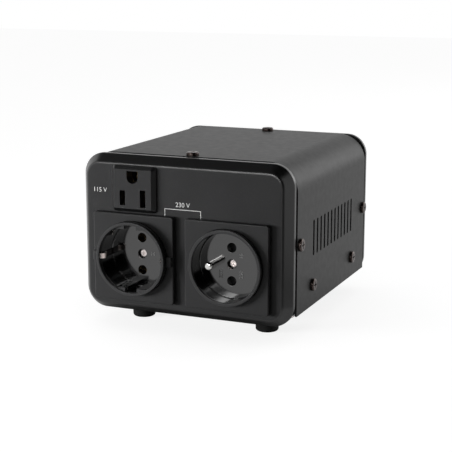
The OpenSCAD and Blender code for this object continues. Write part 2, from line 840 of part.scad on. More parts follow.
module top_cover() {
    color([0.2, 0.2, 0.2]) difference() {
        along_y(middle_y - cover_y, middle_y + cover_y) arch(cover_x, cover_z0, cover_z1, bend_r);
        along_y(middle_y - cover_y - cut, middle_y + cover_y + cut)
            arch(cover_x - sheet_t, cover_z0 - cut, cover_z1 - sheet_t, bend_r - sheet_t);
        for (s = [-1, 1], i = [0:vent_count - 1])
            translate([s * cover_x, middle_y + (i - (vent_count - 1) / 2) * vent_pitch, vent_z]) vent_slot();
        on_both() bezel_screw_places() translate([0, 0, -eps]) cylinder(r = hole_r, h = 2 * sheet_t);
        low_screw_places(cover_x) cylinder(r = hole_r, h = 4 * sheet_t, center = true);
    }
}

// The four places of the feet
module foot_places() {
    for (s = [-1, 1], e = [-1, 1])
        translate([s * foot_x, middle_y + e * (panel_y - foot_back), 0]) children();
}

// The places of the bracket's bolts
module bolt_places() {
    translate([0, core_mid, 0]) pair(bolt_x) children();
}

// Hole through the tray, or through a sheet on it
module tray_hole(r, thickness) {
    translate([0, 0, -cut]) cylinder(r = r, h = thickness + 2 * cut);
}

module base_tray() {
    color([0.62, 0.63, 0.64]) difference() {
        union() {
            block([tray_bend_r - tray_x, middle_y - cover_y, tray_z0],
                [tray_x - tray_bend_r, middle_y + cover_y, tray_z1]);
            along_y(middle_y - flange_y, middle_y + flange_y) difference() {
                tray_outline(0);
                tray_outline(tray_t);
            }
            tray_wings();
        }
        translate([0, 0, tray_z0]) {
            foot_places() tray_hole(hole_r, tray_t);
            bolt_places() tray_hole(bolt_r + screw_gap, tray_t);
        }
        low_screw_places(tray_x) cylinder(r = hole_r, h = 4 * tray_t, center = true);
        tray_screw_places() tray_hole(hole_r, tray_t);
    }
}

// Outer outline of the folded tray, or its inside where inset is the thickness
module tray_outline(inset) {
    r = tray_bend_r - inset;
    half = tray_x - inset;
    lower = tray_z0 + inset;
    upper = tray_z0 + flange_h + (inset > 0 ? cut : 0);
    translate([-half, lower + r]) square([2 * half, upper - lower - r]);
    translate([r - half, lower]) square([2 * (half - r), upper - lower]);
    for (s = [-1, 1]) translate([s * (half - r), lower + r]) circle(r);
}

// Flat wings of the tray under the spigots, past the bends
module tray_wings() {
    size = [tray_bend_r + eps, cover_y - flange_y - flange_gap / 2, tray_t];
    translate([0, middle_y, (tray_z0 + tray_z1) / 2]) for (s = [-1, 1], e = [-1, 1])
        translate([s * (tray_x - size[0] / 2), e * (cover_y - size[1] / 2), 0]) cube(size, center = true);
}

// The four places of the screws that hold the tray to the bezels
module tray_screw_places() {
    for (s = [-1, 1], e = [-1, 1])
        translate([s * boss_x, middle_y + e * (panel_y - cover_screw_back), tray_z0]) children();
}

module rubber_feet() {
    color([0.05, 0.05, 0.05]) foot_places() rotate_extrude() polygon(concat(
        [[hole_r, foot_recess_d], [foot_recess_r, foot_recess_d], [foot_recess_r, 0]],
        arc_points([foot_bottom_r - foot_round, foot_round], foot_round, -90, 0, 6),
        [[foot_top_r, tray_z0], [hole_r, tray_z0]]
    ));
}

module foot_screws() {
    length = tray_z1 + nut_t + screw_tail - foot_recess_d;
    color("silver") foot_places() translate([0, 0, foot_recess_d]) rotate([180, 0, 0])
        pan_screw(screw_r, screw_head_r, screw_head_h, length);
}

module foot_nuts() {
    color("silver") foot_places() translate([0, 0, tray_z1]) hex_nut(hole_r);
}

// Screws through the cover into the bezels
module cover_screws() {
    lift = sheet_t + seat_gap;
    color([0.16, 0.15, 0.15]) on_both() {
        translate([0, cover_screw_back, spigot_z1 + lift]) cover_screw();
        for (s = [-1, 1]) translate([s * (spigot_x + lift), cover_screw_back, side_screw_z])
            rotate([0, s * 90, 0]) cover_screw();
    }
}

module cover_screw() {
    pan_screw(screw_r, screw_head_r, screw_head_h, sheet_t + seat_gap + boss_len - screw_tail);
}

// Screws through the cover into the tray's flanges
module side_screws() {
    color([0.16, 0.15, 0.15]) low_screw_places(cover_x)
        pan_screw(screw_r, screw_head_r, screw_head_h, sheet_t + seat_gap + tray_t + nut_t + screw_tail);
}

module side_nuts() {
    color("silver") low_screw_places(tray_x - tray_t) rotate([180, 0, 0]) hex_nut(hole_r);
}

module tray_screws() {
    color("silver") tray_screw_places() rotate([180, 0, 0])
        pan_screw(screw_r, screw_head_r, screw_head_h, tray_t + seat_gap + boss_len - screw_tail);
}

// American socket, in its own frame at the panel plane

// Outline of the earth hole, flat at the top and round below
module us_earth_outline() {
    r = us_earth_w / 2;
    translate([0, us_earth_z]) circle(r);
    translate([-r, us_earth_z]) square([us_earth_w, r]);
}

module us_socket_body() {
    inner_w = us_body_w - 2 * us_wall;
    inner_h = us_body_h - 2 * us_wall;
    color([0.1, 0.1, 0.1]) on_front(us_x, us_z) difference() {
        union() {
            moulded_plate(us_w, us_h, us_bevel + us_edge_r,
                [[us_edge_r, -us_proud], [us_bevel + us_edge_r, -us_skirt], [us_bevel + us_edge_r, 0]]);
            along_y(-eps, us_body_d) square([us_body_w, us_body_h], center = true);
        }
        along_y(us_face_back, us_body_d + cut) square([inner_w, inner_h], center = true);
        along_y(us_cap_front, us_body_d + cut)
            square([inner_w + us_wall, inner_h + us_wall], center = true);
        along_y(-us_proud - cut, us_face_back + cut) {
            translate([-us_blade_spacing / 2, us_slot_z]) square([us_slot_w, us_live_h], center = true);
            translate([us_blade_spacing / 2, us_slot_z]) square([us_slot_w, us_neutral_h], center = true);
            us_earth_outline();
        }
    }
}

// Jaw of two leaves at the origin, on a foot against the rear cap, with its tab through the cap
module us_jaw(gap, height) {
    half = gap / 2 + strip_t;
    along_z(-height / 2, height / 2) {
        for (s = [-1, 1]) translate([s * (gap + strip_t) / 2 - strip_t / 2, us_face_back + us_setback])
            square([strip_t, us_cap_front - us_face_back - us_setback]);
        translate([-half, us_cap_front - strip_t]) square([2 * half, strip_t]);
    }
    block([-strip_t / 2, us_cap_front - eps, -tab_w / 2], [strip_t / 2, us_body_d + tab_len, tab_w / 2]);
}

module us_live_contact() {
    color([0.8, 0.65, 0.35]) on_front(us_x, us_z)
        translate([-us_blade_spacing / 2, 0, us_slot_z]) us_jaw(us_jaw_gap, us_jaw_h);
}

module us_neutral_contact() {
    color([0.8, 0.65, 0.35]) on_front(us_x, us_z)
        translate([us_blade_spacing / 2, 0, us_slot_z]) us_jaw(us_jaw_gap, us_jaw_h);
}

module us_earth_contact() {
    color([0.8, 0.65, 0.35]) on_front(us_x, us_z)
        translate([0, 0, us_earth_z]) us_jaw(us_earth_gap, us_earth_jaw_h);
}

module us_rear_cap() {
    inner = [us_body_w - us_wall - 2 * seat_gap, us_body_h - us_wall - 2 * seat_gap];
    tab = [strip_t + 2 * seat_gap, tab_w + 2 * seat_gap];
    color([0.15, 0.15, 0.15]) on_front(us_x, us_z) along_y(us_cap_front, us_body_d) difference() {
        square(inner, center = true);
        for (s = [-1, 1]) translate([s * us_blade_spacing / 2, us_slot_z]) square(tab, center = true);
        translate([0, us_earth_z]) square(tab, center = true);
    }
}

// European sockets, in their own frames at the panel plane

// Places of the four pegs of a frame
module peg_places() {
    for (sx = [-1, 1], sz = [-1, 1])
        translate([sx * (frame_w / 2 - peg_inset), 0, sz * (frame_h / 2 - peg_inset)]) children();
}

// Square frame on the panel, held by its pegs
module frame_plate() {
    moulded_plate(frame_w, frame_h, frame_r, round_edge(frame_r, frame_proud, frame_round));
    peg_places() bar_y(peg_r, -eps, panel_t + peg_tail);
}

// Opening of a frame, with the seat for the cup's shoulder behind
module frame_opening(rim_r) {
    bar_y(rim_r + seat_gap, -frame_proud - ear_rise - cut, cut);
    bar_y(rim_r + shoulder_w + seat_gap, -shoulder_t - seat_gap, cut);
}

// Cup with its rim, shoulder and floor
module socket_cup(cup_r, rim_r, rim_proud, floor_y) {
    back = floor_y + cup_floor_t;
    shoulder_r = rim_r + shoulder_w;
    body_r = cup_r + cup_wall;
    turned() polygon(concat(
        [[0, back], [0, floor_y], [cup_r - floor_chamfer, floor_y], [cup_r, floor_y - floor_chamfer]],
        arc_points([cup_r + rim_round, rim_round - rim_proud], rim_round, 180, 270, 5),
        arc_points([rim_r - rim_round, rim_round - rim_proud], rim_round, 270, 360, 5),
        [[rim_r, -shoulder_t], [shoulder_r, -shoulder_t], [shoulder_r, 0], [body_r, 0], [body_r, back]]
    ));
}

// Pin holes and the stepped hole of the centre screw
module cup_holes(floor_y, recess) {
    back = floor_y + cup_floor_t;
    for (s = [-1, 1]) translate([0, 0, s * pin_spacing / 2]) bar_y(pin_hole_r, floor_y - cut, back + cut);
    bar_y(centre_head_r + head_gap, floor_y - cut, floor_y + recess + centre_head_h);
    bar_y(centre_screw_r + screw_gap, floor_y, back + cut);
}

// Centre screw whose head is that far below a cup's floor
module centre_screw(floor_y, recess, end_y) {
    top = floor_y + recess;
    seat = top + centre_head_h;
    edge = centre_head_h / 3;
    difference() {
        turned() polygon([
            [0, top], [centre_head_r - edge, top], [centre_head_r, top + edge], [centre_head_r, seat],
            [centre_screw_r, seat], [centre_screw_r, end_y], [0, end_y]
        ]);
        translate([0, seat, 0]) rotate([90, 0, 0]) cross_recess(centre_head_r, centre_head_h);
    }
}

// Rear housing: a skirt that bears on the panel's back, and a block behind the cup
module socket_base(body_r, block_y) {
    inner_r = body_r + cup_gap;
    rear = block_y + base_block_d;
    tab = [tab_w / 2 + seat_gap, strip_t / 2 + seat_gap];
    difference() {
        turned() polygon([
            [0, block_y], [inner_r, block_y], [inner_r, panel_t], [inner_r + skirt_t, panel_t],
            [inner_r + skirt_t, rear], [0, rear]
        ]);
        for (s = [-1, 1]) translate([0, 0, s * pin_spacing / 2]) {
            bar_y(sleeve_r + strip_t + seat_gap, block_y - cut, rear - sleeve_end);
            block([-tab[0], rear - sleeve_end - cut, -tab[1]], [tab[0], rear + cut, tab[1]]);
        }
        bar_y(centre_screw_r + screw_gap, block_y - cut, rear + cut);
    }
}

// Contact sleeves in a rear housing, slit along one side, with their tabs
module socket_contacts(block_y) {
    front = block_y + sleeve_setback;
    rear = block_y + base_block_d;
    end = rear - sleeve_end;
    for (s = [-1, 1]) translate([0, 0, s * pin_spacing / 2]) {
        difference() {
            bar_y(sleeve_r + strip_t, front, end);
            bar_y(sleeve_r, front - cut, end - strip_t);
            block([0, front - cut, -slit_w / 2], [sleeve_r + strip_t + cut, end - strip_t, slit_w / 2]);
        }
        block([-tab_w / 2, end - eps, -strip_t / 2], [tab_w / 2, rear + tab_len, strip_t / 2]);
    }
}

// Raised pads on the left frame, one on each side of the cup
module ears() {
    end = frame_w / 2 - ear_inset;
    top = -frame_proud - ear_rise;
    foot = frame_round - frame_proud;
    for (s = [0, 180]) rotate([0, s, 0]) along_z(-ear_w / 2, ear_w / 2) polygon([
        [schuko_rim_r, foot], [schuko_rim_r, top],
        [end - ear_chamfer, top], [end, top + ear_chamfer], [end, foot]
    ]);
}

module schuko_frame() {
    color([0.15, 0.15, 0.15]) on_front(schuko_x, socket_z) difference() {
        union() {
            frame_plate();
            ears();
        }
        frame_opening(schuko_rim_r);
    }
}

// Guide flats at the top and bottom of the left cup, each with a notch in its middle
module guide_flats() {
    low = schuko_cup_r - flat_h;
    intersection() {
        bar_y(schuko_cup_r + cup_wall / 2, flat_setback - schuko_rim_proud, schuko_floor + cut);
        for (sx = [0, 1], sz = [0, 1]) mirror([sx, 0, 0]) mirror([0, 0, sz])
            block([flat_notch / 2, -schuko_depth, low], [schuko_cup_r, schuko_depth, schuko_cup_r + cut]);
    }
}

module schuko_insert() {
    half_w = clip_w / 2 + clip_gap;
    slot_y = clip_setback - clip_gap - schuko_rim_proud;
    color([0.12, 0.12, 0.12]) on_front(schuko_x, socket_z) difference() {
        union() {
            socket_cup(schuko_cup_r, schuko_rim_r, schuko_rim_proud, schuko_floor);
            guide_flats();
        }
        cup_holes(schuko_floor, schuko_screw_recess);
        for (s = [0, 180]) rotate([0, s, 0]) block([clip_r - clip_gap, slot_y, -half_w],
            [clip_r + strip_t + clip_gap, schuko_back + cut, half_w]);
    }
}

module schuko_base() {
    color([0.2, 0.2, 0.2]) on_front(schuko_x, socket_z) socket_base(schuko_body_r, schuko_block);
}

module schuko_contacts() {
    color([0.8, 0.65, 0.35]) on_front(schuko_x, socket_z) socket_contacts(schuko_block);
}

// Earth strip: a bar behind the cup with an eye for the screw, and an arm up each side that bows in
module schuko_earth_strip() {
    steps = 10;
    bow = clip_r - schuko_cup_r + clip_reach;
    tip = clip_setback - schuko_rim_proud;
    arm = concat([[clip_r, schuko_block]], [for (i = [0:steps])
        [clip_r - bow * (1 - cos(360 * i / steps)) / 2, tip + clip_bow * (1 - i / steps)]]);
    outline = concat(arm, [for (i = [len(arm) - 1:-1:0]) arm[i] + [strip_t, 0]]);
    color([0.85, 0.6, 0.5]) on_front(schuko_x, socket_z) difference() {
        union() {
            block([-clip_r - eps, schuko_back, -clip_w / 2], [clip_r + eps, schuko_block, clip_w / 2]);
            bar_y(clip_eye_r, schuko_back, schuko_block);
            for (s = [0, 180]) rotate([0, s, 0]) along_z(-clip_w / 2, clip_w / 2) polygon(outline);
        }
        bar_y(centre_screw_r + screw_gap, schuko_back - cut, schuko_block + cut);
    }
}

module schuko_screw() {
    color("silver") on_front(schuko_x, socket_z)
        centre_screw(schuko_floor, schuko_screw_recess, schuko_block + base_block_d - screw_tail);
}

module french_frame() {
    color([0.15, 0.15, 0.15]) on_front(french_x, socket_z) difference() {
        frame_plate();
        frame_opening(french_rim_r);
    }
}

module french_insert() {
    color([0.18, 0.18, 0.18]) on_front(french_x, socket_z) difference() {
        socket_cup(french_cup_r, french_rim_r, french_rim_proud, french_floor);
        cup_holes(french_floor, french_screw_recess);
        translate([-earth_pin_offset, 0, 0])
            bar_y(earth_tail_r + screw_gap, french_floor - cut, french_back + cut);
    }
}

// Chamber of the shutter and of its spring in the right socket's housing
module shutter_chamber() {
    half_h = shutter_h / 2 + shutter_gap;
    x0 = -wedge_reach - shutter_gap;
    x1 = shutter_x1 + shutter_travel + shutter_gap;
    spring_half = spring_r + shutter_gap;
    block([x0, french_back - cut, -half_h], [x1, french_block + cut, half_h]);
    block([x1 - cut, french_back - cut, -spring_half], [spring_x1, french_block + cut, spring_half]);
}

module french_base() {
    rear = french_block + base_block_d;
    color([0.2, 0.2, 0.2]) on_front(french_x, socket_z) difference() {
        union() {
            socket_base(french_body_r, french_block);
            difference() {
                bar_y(french_body_r + cup_gap + skirt_t / 2, french_back + eps, french_block + eps);
                shutter_chamber();
            }
            bar_y(post_r, french_back + eps, french_block + eps);
        }
        bar_y(centre_screw_r + screw_gap, french_back - cut, rear + cut);
        translate([-earth_pin_offset, 0, 0]) bar_y(earth_tail_r + screw_gap, french_back - cut, rear + cut);
    }
}

module french_contacts() {
    color([0.8, 0.65, 0.35]) on_front(french_x, socket_z) socket_contacts(french_block);
}

module french_earth_pin() {
    tip = french_floor - earth_pin_len;
    tail = french_block + base_block_d + earth_tail_len;
    color([0.85, 0.85, 0.86]) on_front(french_x, socket_z) translate([-earth_pin_offset, 0, 0])
        turned() polygon(concat(
            [[0, tail], [0, tip]],
            arc_points([earth_pin_r - earth_tip_round, tip + earth_tip_round], earth_tip_round, -90, 0, 6),
            [[earth_pin_r, french_floor], [earth_tail_r, french_floor], [earth_tail_r, tail]]
        ));
}

module french_screw() {
    color("silver") on_front(french_x, socket_z)
        centre_screw(french_floor, french_screw_recess, french_block + base_block_d - screw_tail);
}

// Shutter: two wedges over the pin holes, joined by a bar beside them
module french_shutter() {
    front = french_back + shutter_gap;
    rear = french_block - shutter_gap;
    root = shutter_bar_x + eps;
    color([0.75, 0.75, 0.72]) on_front(french_x, socket_z) {
        block([shutter_bar_x, front, -shutter_h / 2], [shutter_x1, rear, shutter_h / 2]);
        for (s = [-1, 1]) translate([0, 0, s * pin_spacing / 2]) along_z(-wedge_h / 2, wedge_h / 2)
            polygon([[-wedge_reach, rear], [-wedge_reach, rear - wedge_edge], [root, front], [root, rear]]);
    }
}

// Return spring of the shutter: one wire wound round the X axis
function spring_point(i) = let (
        t = i / (spring_turns * spring_steps),
        a = 360 * i / spring_steps,
        x0 = shutter_x1 + spring_wire + eps,
        x1 = spring_x1 - spring_wire - eps,
        coil_r = spring_r - spring_wire
    ) [x0 + (x1 - x0) * t, (coil_r - shutter_gap) * cos(a), coil_r * sin(a)];

function spring_ring(i) = let (
        a = 360 * i / spring_steps,
        out = [0, cos(a), sin(a)]
    ) [for (k = [0:spring_sides - 1]) let (b = 360 * k / spring_sides)
        spring_point(i) + spring_wire * (cos(b) * out + sin(b) * [1, 0, 0])];

module shutter_spring() {
    rings = spring_turns * spring_steps;
    points = [for (i = [0:rings]) each spring_ring(i)];
    sides = [for (i = [0:rings - 1], k = [0:spring_sides - 1]) let (
            a = i * spring_sides + k,
            b = i * spring_sides + (k + 1) % spring_sides
        ) each [[a, b, a + spring_sides], [b, b + spring_sides, a + spring_sides]]];
    first = [for (k = [1:spring_sides - 2]) [0, k + 1, k]];
    end = rings * spring_sides;
    last = [for (k = [1:spring_sides - 2]) [end, end + k, end + k + 1]];
    color("silver") on_front(french_x, socket_z) translate([0, french_back + chamber_d / 2, 0])
        polyhedron(points, concat(sides, first, last));
}

// Inlet, in its own frame at the rear panel plane

// Outline of the plug recess, with its two upper corners cut
module recess_outline() {
    w = recess_w / 2;
    h = recess_h / 2;
    translate([0, recess_rise]) polygon([
        [-w, -h], [w, -h], [w, h - recess_cut], [w - recess_cut, h], [recess_cut - w, h], [-w, h - recess_cut]
    ]);
}

module inlet_pin_places() {
    translate([0, 0, recess_rise - inlet_pin_z]) pair(inlet_pin_x) children();
    translate([0, 0, recess_rise + inlet_pin_z]) children();
}

module inlet_body() {
    floor_y = recess_d - inlet_proud;
    front = -inlet_proud - cut;
    pin = [inlet_pin_t / 2 + seat_gap / 2, inlet_pin_h / 2 + seat_gap / 2];
    color([0.07, 0.07, 0.07]) on_rear(inlet_x, inlet_z) difference() {
        union() {
            moulded_plate(inlet_w, inlet_h, inlet_r, round_edge(inlet_r, inlet_proud, inlet_round));
            along_y(-eps, inlet_body_d) square([inlet_body_w, inlet_body_h], center = true);
        }
        along_y(front, floor_y) recess_outline();
        translate([0, 0, drawer_z]) along_y(front, drawer_d)
            square([drawer_w + 2 * drawer_gap, drawer_h + 2 * drawer_gap], center = true);
        pair(inlet_screw_spacing / 2) bar_y(hole_r, front, cut);
        inlet_pin_places()
            block([-pin[0], floor_y - cut, -pin[1]], [pin[0], inlet_body_d + cut, pin[1]]);
    }
}

module inlet_pins() {
    tip = recess_d - inlet_proud - inlet_pin_len;
    shoulder = tip + inlet_pin_taper;
    tail = inlet_body_d + tab_len;
    half = inlet_pin_h / 2;
    tip_half = half - inlet_pin_taper;
    color("silver") on_rear(inlet_x, inlet_z) inlet_pin_places()
        along_x(-inlet_pin_t / 2, inlet_pin_t / 2) polygon([
            [tip, -tip_half], [shoulder, -half], [tail, -half],
            [tail, half], [shoulder, half], [tip, tip_half]
        ]);
}

module inlet_screws() {
    color("silver") on_rear(inlet_x, inlet_z) pair(inlet_screw_spacing / 2)
        translate([0, -inlet_proud, 0]) rotate([90, 0, 0])
            pan_screw(screw_r, small_head_r, small_head_h, inlet_proud + panel_t + small_tail);
}

// Fuse drawer with a finger grip, open above for the fuse
module fuse_drawer() {
    half_w = drawer_w / 2;
    half_h = drawer_h / 2;
    half_room = fuse_len / 2 + fuse_gap;
    grip_top = half_h - grip_slope;
    color([0.08, 0.08, 0.08]) on_rear(inlet_x, inlet_z) translate([0, 0, drawer_z]) difference() {
        union() {
            block([-half_w, -inlet_proud, -half_h], [half_w, drawer_d - drawer_gap, half_h]);
            along_x(-half_w, half_w) polygon([
                [-inlet_proud, -half_h], [-inlet_proud, half_h], [-drawer_proud, grip_top],
                [-drawer_proud, grip_top - grip_w], [-inlet_proud - fuse_gap, grip_slope - half_h]
            ]);
        }
        block([-half_room, fuse_y - fuse_r - fuse_gap, -fuse_r - fuse_gap / 3],
            [half_room, fuse_y + fuse_r + fuse_gap, half_h + cut]);
    }
}

module fuse_place() {
    on_rear(inlet_x, inlet_z) translate([0, fuse_y, drawer_z]) children();
}

module fuse_glass() {
    half = fuse_len / 2 - 2 * cap_t;
    color([0.8, 0.85, 0.85, 0.4]) fuse_place() bar_x(fuse_r - cap_t - eps, -half, half);
}

module fuse_caps() {
    end = fuse_len / 2;
    color("silver") fuse_place() for (s = [0, 180]) rotate(s) difference() {
        bar_x(fuse_r, end - cap_len, end);
        bar_x(fuse_r - cap_t, end - cap_len - cut, end - 2 * cap_t + eps);
    }
}

// Switch, in its own frame at the rear panel plane

module switch_housing() {
    open_w = rocker_w + 2 * rocker_gap;
    open_r = rocker_r + rocker_gap;
    bore_x = open_w / 2 + stub_reach + stub_gap;
    tab = [tab_w / 2 + seat_gap, strip_t / 2 + seat_gap];
    color([0.06, 0.06, 0.06]) on_rear(switch_x, switch_z) difference() {
        union() {
            moulded_plate(switch_w, switch_h, switch_r, round_edge(switch_r, switch_proud, switch_round));
            along_y(-eps, switch_d) square([switch_body_w, switch_body_h], center = true);
        }
        translate([0, pivot_d, 0]) {
            bar_x(open_r, -open_w / 2, open_w / 2);
            bar_x(pivot_r + pivot_gap, -bore_x, bore_x);
        }
        along_y(-switch_proud - cut, pivot_d) square([open_w, 2 * open_r], center = true);
        switch_tab_places()
            block([-tab[0], switch_d - terminal_seat, -tab[1]], [tab[0], switch_d + cut, tab[1]]);
    }
}

module switch_tab_places() {
    for (z = [-terminal_drop, 0]) translate([0, 0, z]) children();
}

// Rocker: a round-ended block with two sloping faces, tilted to its off stop
module switch_rocker() {
    face = rocker_r * 0.36;
    crest = face + rocker_r * tan(rocker_slope);
    far = rocker_r + cut;
    stub_x = rocker_w / 2 + rocker_gap + stub_reach;
    color([0.5, 0.06, 0.05]) on_rear(switch_x, switch_z)
        translate([0, pivot_d, 0]) rotate([rocker_tilt, 0, 0]) {
            along_x(-rocker_w / 2, rocker_w / 2) difference() {
                circle(rocker_r);
                polygon([
                    [-face, 0], [-crest, rocker_r], [-crest, far], [-2 * far, far],
                    [-2 * far, -far], [-crest, -far], [-crest, -rocker_r]
                ]);
                translate([rocker_r / 2, -far]) square([rocker_r, 2 * far]);
            }
            bar_x(pivot_r, -stub_x, stub_x);
        }
}

module switch_terminals() {
    color("silver") on_rear(switch_x, switch_z) switch_tab_places()
        block([-tab_w / 2, switch_d - terminal_seat, -strip_t / 2],
            [tab_w / 2, switch_d + tab_len, strip_t / 2]);
}

// Selector, in its own frame at the rear panel plane

module selector_plate() {
    color([0.6, 0.6, 0.6]) on_rear(selector_x, selector_z) difference() {
        along_y(-plate_t, 0) difference() {
            rounded(plate_w, plate_h, plate_r);
            square([window_w, knob_h + 2 * slider_gap], center = true);
        }
        pair(selector_screw_spacing / 2) bar_y(hole_r, -plate_t - cut, cut);
    }
}

module selector_body() {
    color([0.08, 0.08, 0.08]) on_rear(selector_x, selector_z) difference() {
        along_y(0, selector_body_d) square([selector_body_w, selector_body_h], center = true);
        along_y(-cut, channel_d)
            square([shoe_w + slider_travel + 2 * slider_gap, shoe_h + 2 * slider_gap], center = true);
    }
}

// Slider with its shoe behind the plate and a ridged knob in the window
module selector_slider() {
    face = knob_sink - plate_t;
    color([0.75, 0.1, 0.08]) on_rear(selector_x, selector_z) translate([slider_travel / 2, 0, 0])
        difference() {
            union() {
                along_y(slider_gap, slider_gap + shoe_t) square([shoe_w, shoe_h], center = true);
                along_y(face, slider_gap + eps) square([knob_w, knob_h], center = true);
            }
            for (i = [-1:1]) translate([i * groove_pitch, 0, 0])
                block([-groove_w / 2, face - cut, -knob_h], [groove_w / 2, face + groove_d, knob_h]);
        }
}

module selector_screws() {
    color("silver") on_rear(selector_x, selector_z) pair(selector_screw_spacing / 2)
        translate([0, -plate_t, 0]) rotate([90, 0, 0])
            pan_screw(screw_r, small_head_r, small_head_h, plate_t + panel_t + small_tail);
}

// Transformer

module transformer_core() {
    window_h = core_h - 2 * core_leg;
    color([0.45, 0.46, 0.48]) translate([0, core_mid, core_z]) along_y(-core_t / 2, core_t / 2) difference() {
        translate([-core_w / 2, 0]) square([core_w, core_h]);
        for (s = [-1, 1]) translate([s * (core_leg + window_x / 2), core_h / 2])
            square([window_x, window_h], center = true);
    }
}

// Rectangular ring round the middle leg, from an inner size to an outer size
module coil_ring(inner_x, inner_y, thickness, z0, z1, round_r) {
    translate([0, core_mid, 0]) along_z(z0, z1) difference() {
        rounded(2 * (inner_x + thickness), 2 * (inner_y + thickness), round_r + thickness);
        rounded(2 * inner_x, 2 * inner_y, round_r);
    }
}

module transformer_bobbin() {
    flange_x = core_leg + window_x - winding_gap;
    reach_y = core_t / 2 + bobbin_reach;
    low = core_z + core_leg + winding_gap;
    high = core_z + core_h - core_leg - winding_gap;
    inner_x = tube_x - bobbin_t;
    inner_y = tube_y - bobbin_t;
    color([0.85, 0.82, 0.7]) {
        coil_ring(inner_x, inner_y, bobbin_t, low, high, coil_round / 2);
        for (z = [low, high - bobbin_t]) translate([0, core_mid, 0]) along_z(z, z + bobbin_t) difference() {
            square([2 * flange_x, 2 * reach_y], center = true);
            square([2 * inner_x + bobbin_t / 2, 2 * inner_y + bobbin_t / 2], center = true);
        }
    }
}

module primary_winding() {
    color([0.72, 0.38, 0.18])
        coil_ring(primary_x, primary_x + coil_dy, primary_t, coil_z0, coil_z1, coil_round);
}

module secondary_winding() {
    color([0.75, 0.42, 0.2])
        coil_ring(secondary_x, secondary_x + coil_dy, secondary_t, coil_z0, coil_z1, secondary_round);
}

module winding_wrap() {
    color([0.9, 0.8, 0.3]) coil_ring(wrap_x, wrap_x + coil_dy, wrap_t, coil_z0, coil_z1, wrap_round);
}

// Strap over the core, with a foot on each side
module transformer_bracket() {
    top = core_z + core_h + winding_gap;
    outer = strap_x + bracket_t;
    color([0.7, 0.7, 0.68]) difference() {
        translate([0, core_mid, 0]) along_y(-bracket_w / 2, bracket_w / 2) {
            translate([-outer, top]) square([2 * outer, bracket_t]);
            for (s = [0, 1]) mirror([s, 0]) {
                translate([strap_x, core_z]) square([bracket_t, core_h + winding_gap + eps]);
                translate([strap_x, core_z]) square([bracket_t + bracket_foot, bracket_t]);
            }
        }
        translate([0, 0, core_z]) bolt_places() tray_hole(bolt_r + screw_gap, bracket_t);
    }
}

module bracket_bolts() {
    color("silver") bolt_places() translate([0, 0, core_z + bracket_t])
        pan_screw(bolt_r, screw_head_r, screw_head_h, bracket_t + tray_t + nut_t + screw_tail);
}

module bracket_nuts() {
    color("silver") bolt_places() translate([0, 0, tray_z0]) rotate([180, 0, 0]) hex_nut(bolt_r + screw_gap);
}

front_bezel();
rear_bezel();
top_cover();
base_tray();
rubber_feet();
foot_screws();
foot_nuts();
cover_screws();
side_screws();
side_nuts();
tray_screws();
us_socket_body();
us_live_contact();
us_neutral_contact();
us_earth_contact();
us_rear_cap();
schuko_frame();
schuko_insert();
schuko_base();
schuko_contacts();
schuko_earth_strip();
schuko_screw();
french_frame();
french_insert();
french_base();
french_contacts();
french_earth_pin();
french_screw();
french_shutter();
shutter_spring();
inlet_body();
inlet_pins();
inlet_screws();
fuse_drawer();
fuse_glass();
fuse_caps();
switch_housing();
switch_rocker();
switch_terminals();
selector_plate();
selector_body();
selector_slider();
selector_screws();
transformer_core();
transformer_bobbin();
primary_winding();
secondary_winding();
winding_wrap();
transformer_bracket();
bracket_bolts();
bracket_nuts();
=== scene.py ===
"""Looks of a travel voltage converter: finishes, print, stage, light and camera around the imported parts."""

import json
import math

import bmesh
import bpy
from mathutils import Matrix, Vector


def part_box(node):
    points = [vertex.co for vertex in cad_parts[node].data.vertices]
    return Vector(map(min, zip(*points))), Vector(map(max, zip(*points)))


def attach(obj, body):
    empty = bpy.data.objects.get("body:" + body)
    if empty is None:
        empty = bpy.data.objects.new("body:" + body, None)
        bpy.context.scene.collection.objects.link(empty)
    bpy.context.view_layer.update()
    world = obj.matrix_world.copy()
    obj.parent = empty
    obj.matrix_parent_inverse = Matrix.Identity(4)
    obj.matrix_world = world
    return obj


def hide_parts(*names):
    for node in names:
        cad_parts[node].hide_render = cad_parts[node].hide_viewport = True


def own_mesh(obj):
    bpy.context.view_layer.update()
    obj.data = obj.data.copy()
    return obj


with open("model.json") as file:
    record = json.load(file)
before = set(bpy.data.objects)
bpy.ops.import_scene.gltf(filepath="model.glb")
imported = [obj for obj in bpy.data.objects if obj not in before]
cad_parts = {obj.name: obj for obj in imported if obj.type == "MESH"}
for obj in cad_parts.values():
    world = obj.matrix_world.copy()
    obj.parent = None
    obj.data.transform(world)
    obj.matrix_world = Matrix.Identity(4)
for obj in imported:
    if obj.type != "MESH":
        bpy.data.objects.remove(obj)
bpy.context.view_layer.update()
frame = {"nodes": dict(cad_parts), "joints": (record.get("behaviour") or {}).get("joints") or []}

# Lengths on the object are in mm. Those of the stage and the lights are in metres.
MM = 0.001
FRONT = Vector((0, -1, 0))
REAR = Vector((0, 1, 0))
UP = Vector((0, 0, 1))
WHITE = (1, 1, 1, 1)
JOINTS = {joint["name"]: joint for joint in frame["joints"]}


def add_object(name, data):
    """A new object in the scene."""
    thing = bpy.data.objects.new(name, data)
    bpy.context.scene.collection.objects.link(thing)
    return thing


def box_of(node):
    """Lowest and highest corner of a node at rest."""
    low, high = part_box(node)
    return low / MM, high / MM


def middle_of(node):
    low, high = box_of(node)
    return (low + high) / 2


# Finishes

EVEN = (1, 1, 1)
BEVEL_SAMPLES = 6
# How far the normals of a rounded and a sharp edge agree, on a full edge and on flat ground
EDGE_FULL, EDGE_NONE = 0.75, 0.995
# Most values of a noise texture lie between these
NOISE_LOW, NOISE_HIGH = 0.3, 0.7
